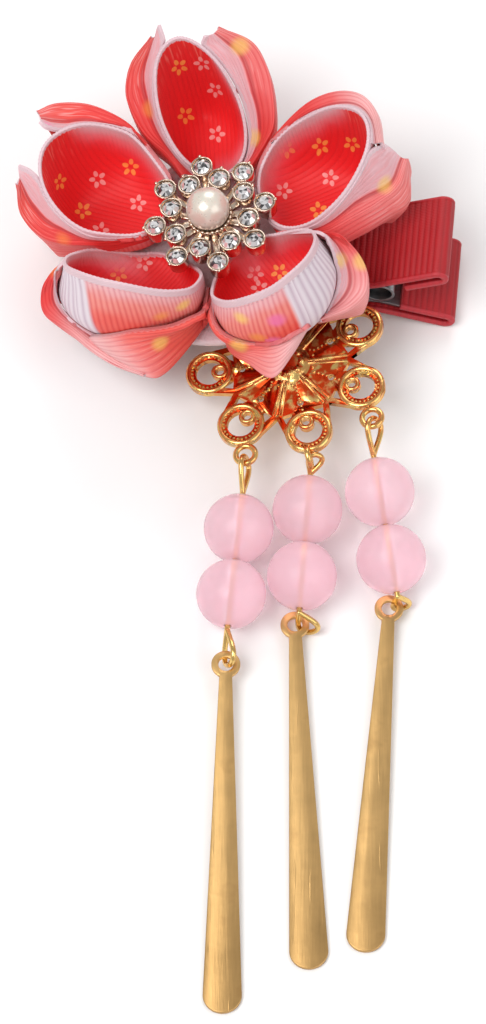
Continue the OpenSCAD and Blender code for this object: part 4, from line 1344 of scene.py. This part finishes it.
def model_cup(height):
    """A stone's cup: a turned wall with a thin rolled lip and a ledge, and three grains."""
    foot_r = CUP_R - 0.12
    deselect()
    bpy.ops.mesh.primitive_cylinder_add(vertices=36, radius=foot_r, depth=height, location=(0, 0, -height / 2))
    cup = bpy.context.object
    bpy.ops.object.mode_set(mode='EDIT')
    select_level(cup)
    bpy.ops.transform.resize(value=(CUP_R / foot_r, CUP_R / foot_r, 1), center_override=(0, 0, 0))
    bpy.ops.mesh.inset(thickness=CUP_LIP)
    bpy.ops.mesh.extrude_region_move(TRANSFORM_OT_translate={"value": (0, 0, -0.42)})
    bpy.ops.mesh.inset(thickness=CUP_LEDGE)
    bpy.ops.mesh.extrude_region_move(TRANSFORM_OT_translate={"value": (0, 0, -0.7)})
    bpy.ops.transform.resize(value=(0.55, 0.55, 1), center_override=(0, 0, -1.1))
    bpy.ops.object.mode_set(mode='OBJECT')
    soften(cup, 0.05, 40)
    apply_all(cup)
    grains = []
    out = CUP_R + 0.02
    r = settings().brooch.grain / MM
    for a, size in ((0, 1.15), (128, 0.6), (232, 0.6)):
        deselect()
        bpy.ops.mesh.primitive_uv_sphere_add(segments=16, ring_count=10, radius=r * size,
                                             location=(out * cos(radians(a)), out * sin(radians(a)), -0.03))
        grains.append(freeze())
    activate(cup)
    return join("stone_cup", [freeze()] + grains)


def model_stone():
    """Brilliant cut: an eight-sided table, facets down to a 16-sided girdle, and a pointed back."""
    r = STONE_D / 2
    deselect()
    bpy.ops.mesh.primitive_circle_add(vertices=8, radius=0.56 * r, fill_type='NGON', location=(0, 0, 0.22))
    stone = freeze()
    bpy.ops.object.mode_set(mode='EDIT')
    bpy.ops.mesh.select_mode(type='EDGE')
    bpy.ops.mesh.select_all(action='DESELECT')
    bpy.ops.mesh.primitive_circle_add(vertices=16, radius=0.97 * r, location=(0, 0, -0.15),
                                      rotation=(0, 0, radians(11.25)))
    bpy.ops.mesh.select_all(action='SELECT')
    bpy.ops.mesh.select_mode(type='EDGE')
    mesh = bmesh.from_edit_mesh(stone.data)
    for face in mesh.faces:
        face.select_set(False)
    for edge in mesh.edges:
        edge.select_set(True)
    bmesh.update_edit_mesh(stone.data)
    bpy.ops.mesh.bridge_edge_loops()
    select_open_edges(stone)
    if not any(len(f.verts) == 8 for f in bmesh.from_edit_mesh(stone.data).faces):
        raise RuntimeError("the stone lost its table")
    # The girdle, and the back down to a small flat.
    bpy.ops.mesh.extrude_region_move(TRANSFORM_OT_translate={"value": (0, 0, -0.08)})
    bpy.ops.mesh.extrude_region_move(TRANSFORM_OT_translate={"value": (0, 0, -0.66)})
    bpy.ops.transform.resize(value=(0.14, 0.14, 1), center_override=(0, 0, -0.9))
    bpy.ops.mesh.edge_face_add()
    select_level(stone, limit=0.99)
    bpy.ops.mesh.inset(thickness=0.14)
    bpy.ops.mesh.poke()
    bpy.ops.mesh.select_all(action='SELECT')
    bpy.ops.mesh.normals_make_consistent(inside=False)
    bpy.ops.object.mode_set(mode='OBJECT')
    return stone


def model_arm(i, base):
    """An arm under a stone's cup, from the hub to the cup."""
    out, ring = spoke(i)
    deselect()
    bpy.ops.mesh.primitive_cube_add(size=1, location=((ARM_FROM + ring) / 2, 0, base + 0.4))
    bpy.context.object.scale = (ring - ARM_FROM, 0.8, 0.7)
    arm = freeze()
    soften(arm, 0.15)
    apply_all(arm)
    settle(arm, out)
    return arm


def model_hub(base):
    """A turned dish for the pearl on a hidden shank."""
    deselect()
    bpy.ops.mesh.primitive_cylinder_add(vertices=64, radius=HUB_R, depth=1.6, location=(0, 0, base + 0.8))
    hub = freeze()
    bpy.ops.object.mode_set(mode='EDIT')
    select_level(hub)
    bpy.ops.mesh.inset(thickness=0.35)
    bpy.ops.mesh.extrude_region_move(TRANSFORM_OT_translate={"value": (0, 0, -0.5)})
    bpy.ops.transform.resize(value=(0.8, 0.8, 1), center_override=(0, 0, 0))
    select_level(hub, way=-1)
    bpy.ops.mesh.inset(thickness=0.9)
    bpy.ops.mesh.extrude_region_move(TRANSFORM_OT_translate={"value": (0, 0, 0.3 - base)})
    bpy.ops.object.mode_set(mode='OBJECT')
    soften(hub, 0.08)
    apply_all(hub)
    settle(hub, FLOWER_FRAME)
    return hub


def model_pearl():
    deselect()
    bpy.ops.mesh.primitive_uv_sphere_add(segments=72, ring_count=48, radius=PEARL_D / 2)
    pearl = bpy.context.object
    for v in pearl.data.vertices:
        d = v.co.normalized()
        v.co = v.co * (1 + 0.006 * sin(5 * d.x + 2) * cos(4 * d.y) + 0.004 * sin(9 * d.z))
    settle(pearl, FLOWER_FRAME @ Matrix.Translation((0, 0, PEARL_Z)))
    pearl.name = "pearl_bead"
    return pearl


def add_glints(stone, seed):
    """Each facet gets its own painted glint, light or dark, for the reflections a foiled stone shows."""
    rng = np.random.default_rng(seed)
    layer = stone.data.uv_layers.new(name="glint").data
    for face in stone.data.polygons:
        value = rng.choice([0.05, 0.35, 0.6, 0.85, 1.0], p=[0.2, 0.15, 0.2, 0.25, 0.2])
        for loop in face.loop_indices:
            layer[loop].uv = (value, 0.0)


class BARRETTE_OT_brooch(bpy.types.Operator):
    """Sets sixteen cut stones round the pearl in their cups"""
    bl_idname = "barrette.brooch"
    bl_label = "Brooch"

    def execute(self, context):
        height = settings().brooch.cup_height / MM
        base = BROOCH_HEIGHT - height
        places = [stone_place(i) for i in range(2 * STONES)]
        parts = copies(model_cup(height), places, "cup")
        parts += [model_arm(i, base) for i in range(2 * STONES)]
        parts.append(model_hub(base))
        # A ring of grains round the pearl's dish.
        deselect()
        bpy.ops.mesh.primitive_uv_sphere_add(segments=14, ring_count=8, radius=0.26)
        at_dish = Matrix.Translation((HUB_R - 0.08, 0, BROOCH_HEIGHT - 0.32))
        parts += copies(bpy.context.object, [FLOWER_FRAME @ turn(360 * i / PEARL_GRAINS, 'Z') @ at_dish
                                             for i in range(PEARL_GRAINS)], "grain")
        setting = join("brooch_setting_metal", parts)
        dress(setting, "brooch_metal")
        smooth(setting, 40)
        hand_over(setting, FLOWER, "brooch_setting")
        for i, stone in enumerate(copies(model_stone(), places, "rhinestone")):
            add_glints(stone, 40 + i)
            dress(stone, "cut_stone")
            hand_over(stone, FLOWER, f"stone_{i + 1:02d}")
        pearl = model_pearl()
        dress(pearl, "pearl")
        smooth(pearl, 60)
        hand_over(pearl, FLOWER, "pearl")
        return {'FINISHED'}


# ---------------------------------------------------------------- pierced ornament
# Rows of grains: the radius of a lobe's ring, the grains on a spoke with the first one's place and
# their distance, and the grains of the hub's ring with its radius.
LOBE_GRAINS_R = 1.98
SPOKE_GRAINS, SPOKE_FROM, SPOKE_STEP = 7, 6.4, 0.52
HUB_GRAINS, HUB_GRAINS_R = 22, 2.95


class BARRETTE_OT_ornament(bpy.types.Operator):
    """Finishes the pierced gold ornament with rows of grains"""
    bl_idname = "barrette.ornament"
    bl_label = "Pierced ornament"

    def execute(self, context):
        place = FLOWER_FRAME @ Matrix.Translation((*ORNAMENT_AT, SHEET_TOP))
        body = bevelled_copy("filigree", "pierced_ornament", 0)
        deselect()
        bpy.ops.mesh.primitive_ico_sphere_add(subdivisions=1, radius=0.19)
        grain = bpy.context.object
        spots = []
        count = settings().strand.grains
        for lobe in range(LOBES):
            turned = place @ turn(LOBE_PHASE + 360 * lobe / LOBES, 'Z')
            for i in range(count):
                a = 2 * pi * i / count
                x, y = LOBE_RING + LOBE_GRAINS_R * cos(a), LOBE_GRAINS_R * sin(a)
                # The ring is open where the lobe meets the body.
                if x > LOBE_RING - 1.5:
                    spots.append(turned @ Matrix.Translation((x, y, 0.04)))
            for i in range(SPOKE_GRAINS):
                spots.append(turned @ Matrix.Translation((SPOKE_FROM - SPOKE_STEP * i, 0, 0.03)))
        for i in range(HUB_GRAINS):
            spots.append(place @ turn(360 * i / HUB_GRAINS, 'Z') @ Matrix.Translation((HUB_GRAINS_R, 0, 0.04)))
        ornament = join("pierced_ornament", [body] + copies(grain, spots, "grain"))
        dress(ornament, "gold", "gold_painted_reflection")
        # The broad level faces get the painted reflection of the red petals above them; rims and grains stay gold.
        up = FLOWER_FRAME.to_3x3() @ Vector((0, 0, 1))
        for face in ornament.data.polygons:
            face.material_index = int(face.normal.dot(up) > 0.9 and face.area > 0.06 * MM * MM)
        smooth(ornament, 40)
        hand_over(ornament, FLOWER, "filigree")
        return {'FINISHED'}


# ---------------------------------------------------------------- strands
EYE_POINTS = 28
# How far in mm an eye starts from its bead, and the gap between a wire and its bead's bore.
EYE_FROM_BEAD = 0.45
BORE_GAP = 0.15


def wire(name, points, closed):
    """A round wire through points in mm, as a mesh."""
    deselect()
    bpy.ops.curve.primitive_nurbs_path_add()
    obj = bpy.context.object
    curve = obj.data
    curve.splines.clear()
    spline = curve.splines.new('NURBS')
    spline.points.add(len(points) - 1)
    for point, p in zip(spline.points, points):
        point.co = (*p, 1.0)
    spline.order_u = 4
    spline.resolution_u = 4
    spline.use_cyclic_u = closed
    spline.use_endpoint_u = not closed
    curve.bevel_depth = WIRE_D / 2
    curve.bevel_resolution = 4
    curve.use_fill_caps = not closed
    activate(obj)
    bpy.ops.object.convert(target='MESH')
    obj = bpy.context.object
    obj.name = name
    obj.matrix_world = Matrix.Identity(4)
    return obj


def eye_points(start, end, turned):
    """A drop-shaped eye: broad at start, pointed at end, turned about the line between them."""
    start, end = Vector(start), Vector(end)
    along = (end - start).normalized()
    level = along.cross(Vector((0, 0, 1))).normalized()
    rough = level.cross(along) * cos(radians(turned)) + level * sin(radians(turned))
    across = rough.cross(along).normalized()
    half = (end - start).length / 2
    middle = (start + end) / 2
    points = []
    for i in range(EYE_POINTS):
        t = 2 * pi * i / EYE_POINTS
        points.append(middle + along * (-half * cos(t)) + across * (half * 1.02 * sin(t) * (0.55 + 0.45 * cos(t))))
    return points


def bead_drill(matrix, name):
    """A round bead with a drilled hole."""
    bore = WIRE_D / 2 + BORE_GAP
    deselect()
    bpy.ops.mesh.primitive_uv_sphere_add(segments=64, ring_count=48, radius=BEAD_D / 2)
    bead = bpy.context.object
    bpy.ops.object.mode_set(mode='EDIT')
    bpy.ops.mesh.select_mode(type='VERT')
    bpy.ops.mesh.select_all(action='DESELECT')
    mesh = bmesh.from_edit_mesh(bead.data)
    # The ring nearest to the pole becomes the mouth of the hole.
    for v in mesh.verts:
        v.select_set(hypot(v.co.x, v.co.y) < 0.4)
    bmesh.update_edit_mesh(bead.data)
    bpy.ops.mesh.delete(type='VERT')
    for v in bmesh.from_edit_mesh(bead.data).verts:
        if v.is_boundary:
            k = bore / hypot(v.co.x, v.co.y)
            v.co.x *= k
            v.co.y *= k
    bpy.ops.mesh.select_mode(type='EDGE')
    select_open_edges(bead)
    bpy.ops.mesh.bridge_edge_loops(number_cuts=6)
    bpy.ops.mesh.select_all(action='SELECT')
    bpy.ops.mesh.normals_make_consistent(inside=False)
    bpy.ops.object.mode_set(mode='OBJECT')
    bead.name = name
    settle(bead, matrix)
    return bead


def along_frame(origin, direction):
    """A frame whose z axis runs along a direction."""
    z = Vector(direction).normalized()
    x = Vector((0, 0, 1)).cross(z).normalized()
    m = Matrix((x, z.cross(x), z)).transposed().to_4x4()
    m.translation = origin
    return m


class BARRETTE_OT_strands(bpy.types.Operator):
    """Hangs the three strands: eye-pins through two beads each, and the flat drops"""
    bl_idname = "barrette.strands"
    bl_label = "Strands"

    def execute(self, context):
        for side, (link, first, second, hook, turns) in STRANDS.items():
            link, first, second, hook = (Vector(p) + PLAN_SHIFT for p in (link, first, second, hook))
            run = (second - first).normalized()
            reach = BEAD_D / 2 + EYE_FROM_BEAD
            top, end = first - run * reach, second + run * reach
            pin = wire("pin", [top + (end - top) * (i / 8) for i in range(9)], False)
            upper = wire("upper", eye_points(link, top, turns[0]), True)
            lower = wire("lower", list(reversed(eye_points(hook, end, -turns[1]))), True)
            eyepin = join(f"eyepin_{side}_wire", [pin, upper, lower])
            settle(eyepin, Matrix.Identity(4))
            dress(eyepin, "gold")
            smooth(eyepin, 50)
            hand_over(eyepin, FLOWER, f"eyepin_{side}")
            for number, middle in ((1, first), (2, second)):
                bead = bead_drill(along_frame(middle, run), f"bead_{side}_{number}_glass")
                dress(bead, "bead")
                smooth(bead, 50)
                hand_over(bead, FLOWER, f"bead_{side}_{number}")
            drop = bevelled_copy(f"drop_{side}", f"drop_{side}_plate", 0.09, angle=50)
            dress(drop, "brushed_gold")
            smooth(drop, 35)
            hand_over(drop, FLOWER, f"drop_{side}")
        return {'FINISHED'}


# ---------------------------------------------------------------- stage
# Area lights, aimed at the part: name, place, size and power.
LIGHTS = [("Key", (-0.35, -0.25, 0.75), 0.5, 4.6), ("Fill", (0.55, -0.35, 0.5), 0.6, 1.6),
          ("Back", (0.1, 0.7, 0.55), 0.5, 2.4)]


class BARRETTE_OT_stage(bpy.types.Operator):
    """Adds the pale table top, soft studio lights and the camera"""
    bl_idname = "barrette.stage"
    bl_label = "Stage"

    def execute(self, context):
        look = settings().stage
        scene = context.scene
        deselect()
        bpy.ops.mesh.primitive_plane_add(size=3, location=(0, 0, -0.05 * MM))
        floor = freeze()
        floor.name = "table_top"
        dress(floor, "table_top")
        target = Vector((PLAN_SHIFT.x * MM, PLAN_SHIFT.y * MM, 0))
        back = Vector((0, -cos(look.elevation), sin(look.elevation)))
        camera = bpy.data.cameras.new("Camera")
        camera.sensor_fit = 'VERTICAL'
        camera.sensor_height = 24
        camera.lens = 24 * look.distance / look.frame_height
        camera.clip_start, camera.clip_end = 0.05, 20
        holder = bpy.data.objects.new("Camera", camera)
        scene.collection.objects.link(holder)
        holder.location = target + back * look.distance
        holder.rotation_euler = (pi / 2 - look.elevation, 0, 0)
        scene.camera = holder
        for name, place, size, power in LIGHTS:
            lamp = bpy.data.lights.new(name, 'AREA')
            lamp.shape = 'SQUARE'
            lamp.size = size
            lamp.energy = power * look.light
            obj = bpy.data.objects.new(name, lamp)
            obj.location = place
            obj.rotation_euler = (-Vector(place)).to_track_quat('-Z', 'Y').to_euler()
            scene.collection.objects.link(obj)
        world = bpy.data.worlds.new("Studio")
        world.use_nodes = True
        background = world.node_tree.nodes['Background'].inputs
        background['Color'].default_value = (1, 1, 1, 1)
        background['Strength'].default_value = 0.5
        scene.world = world
        scene.view_settings.view_transform = 'Standard'
        return {'FINISHED'}


class BARRETTE_PT_panel(bpy.types.Panel):
    """Lists the barrette's pieces"""
    bl_idname = "BARRETTE_PT_panel"
    bl_label = "Barrette"
    bl_space_type = 'VIEW_3D'
    bl_region_type = 'UI'
    bl_category = "Barrette"

    def draw(self, context):
        for operator in OPERATORS:
            self.layout.operator(operator.bl_idname)
        for group in (settings().ribbon, settings().brooch, settings().strand, settings().stage):
            box = self.layout.box()
            for name in group.__annotations__:
                box.prop(group, name)


OPERATORS = [BARRETTE_OT_petals, BARRETTE_OT_felt, BARRETTE_OT_clip, BARRETTE_OT_brooch, BARRETTE_OT_ornament,
             BARRETTE_OT_strands, BARRETTE_OT_stage]
CLASSES = [RibbonSettings, BroochSettings, StrandSettings, StageSettings, BarretteSettings, *OPERATORS,
           BARRETTE_PT_panel]


def register():
    for item in CLASSES:
        bpy.utils.register_class(item)
    bpy.types.Scene.barrette = PointerProperty(type=BarretteSettings)


def unregister():
    del bpy.types.Scene.barrette
    for item in reversed(CLASSES):
        bpy.utils.unregister_class(item)


def main():
    register()
    bpy.ops.barrette.stage()
    bpy.ops.barrette.felt()
    bpy.ops.barrette.clip()
    bpy.ops.barrette.petals()
    bpy.ops.barrette.brooch()
    bpy.ops.barrette.ornament()
    bpy.ops.barrette.strands()


if __name__ == "__main__":
    main()
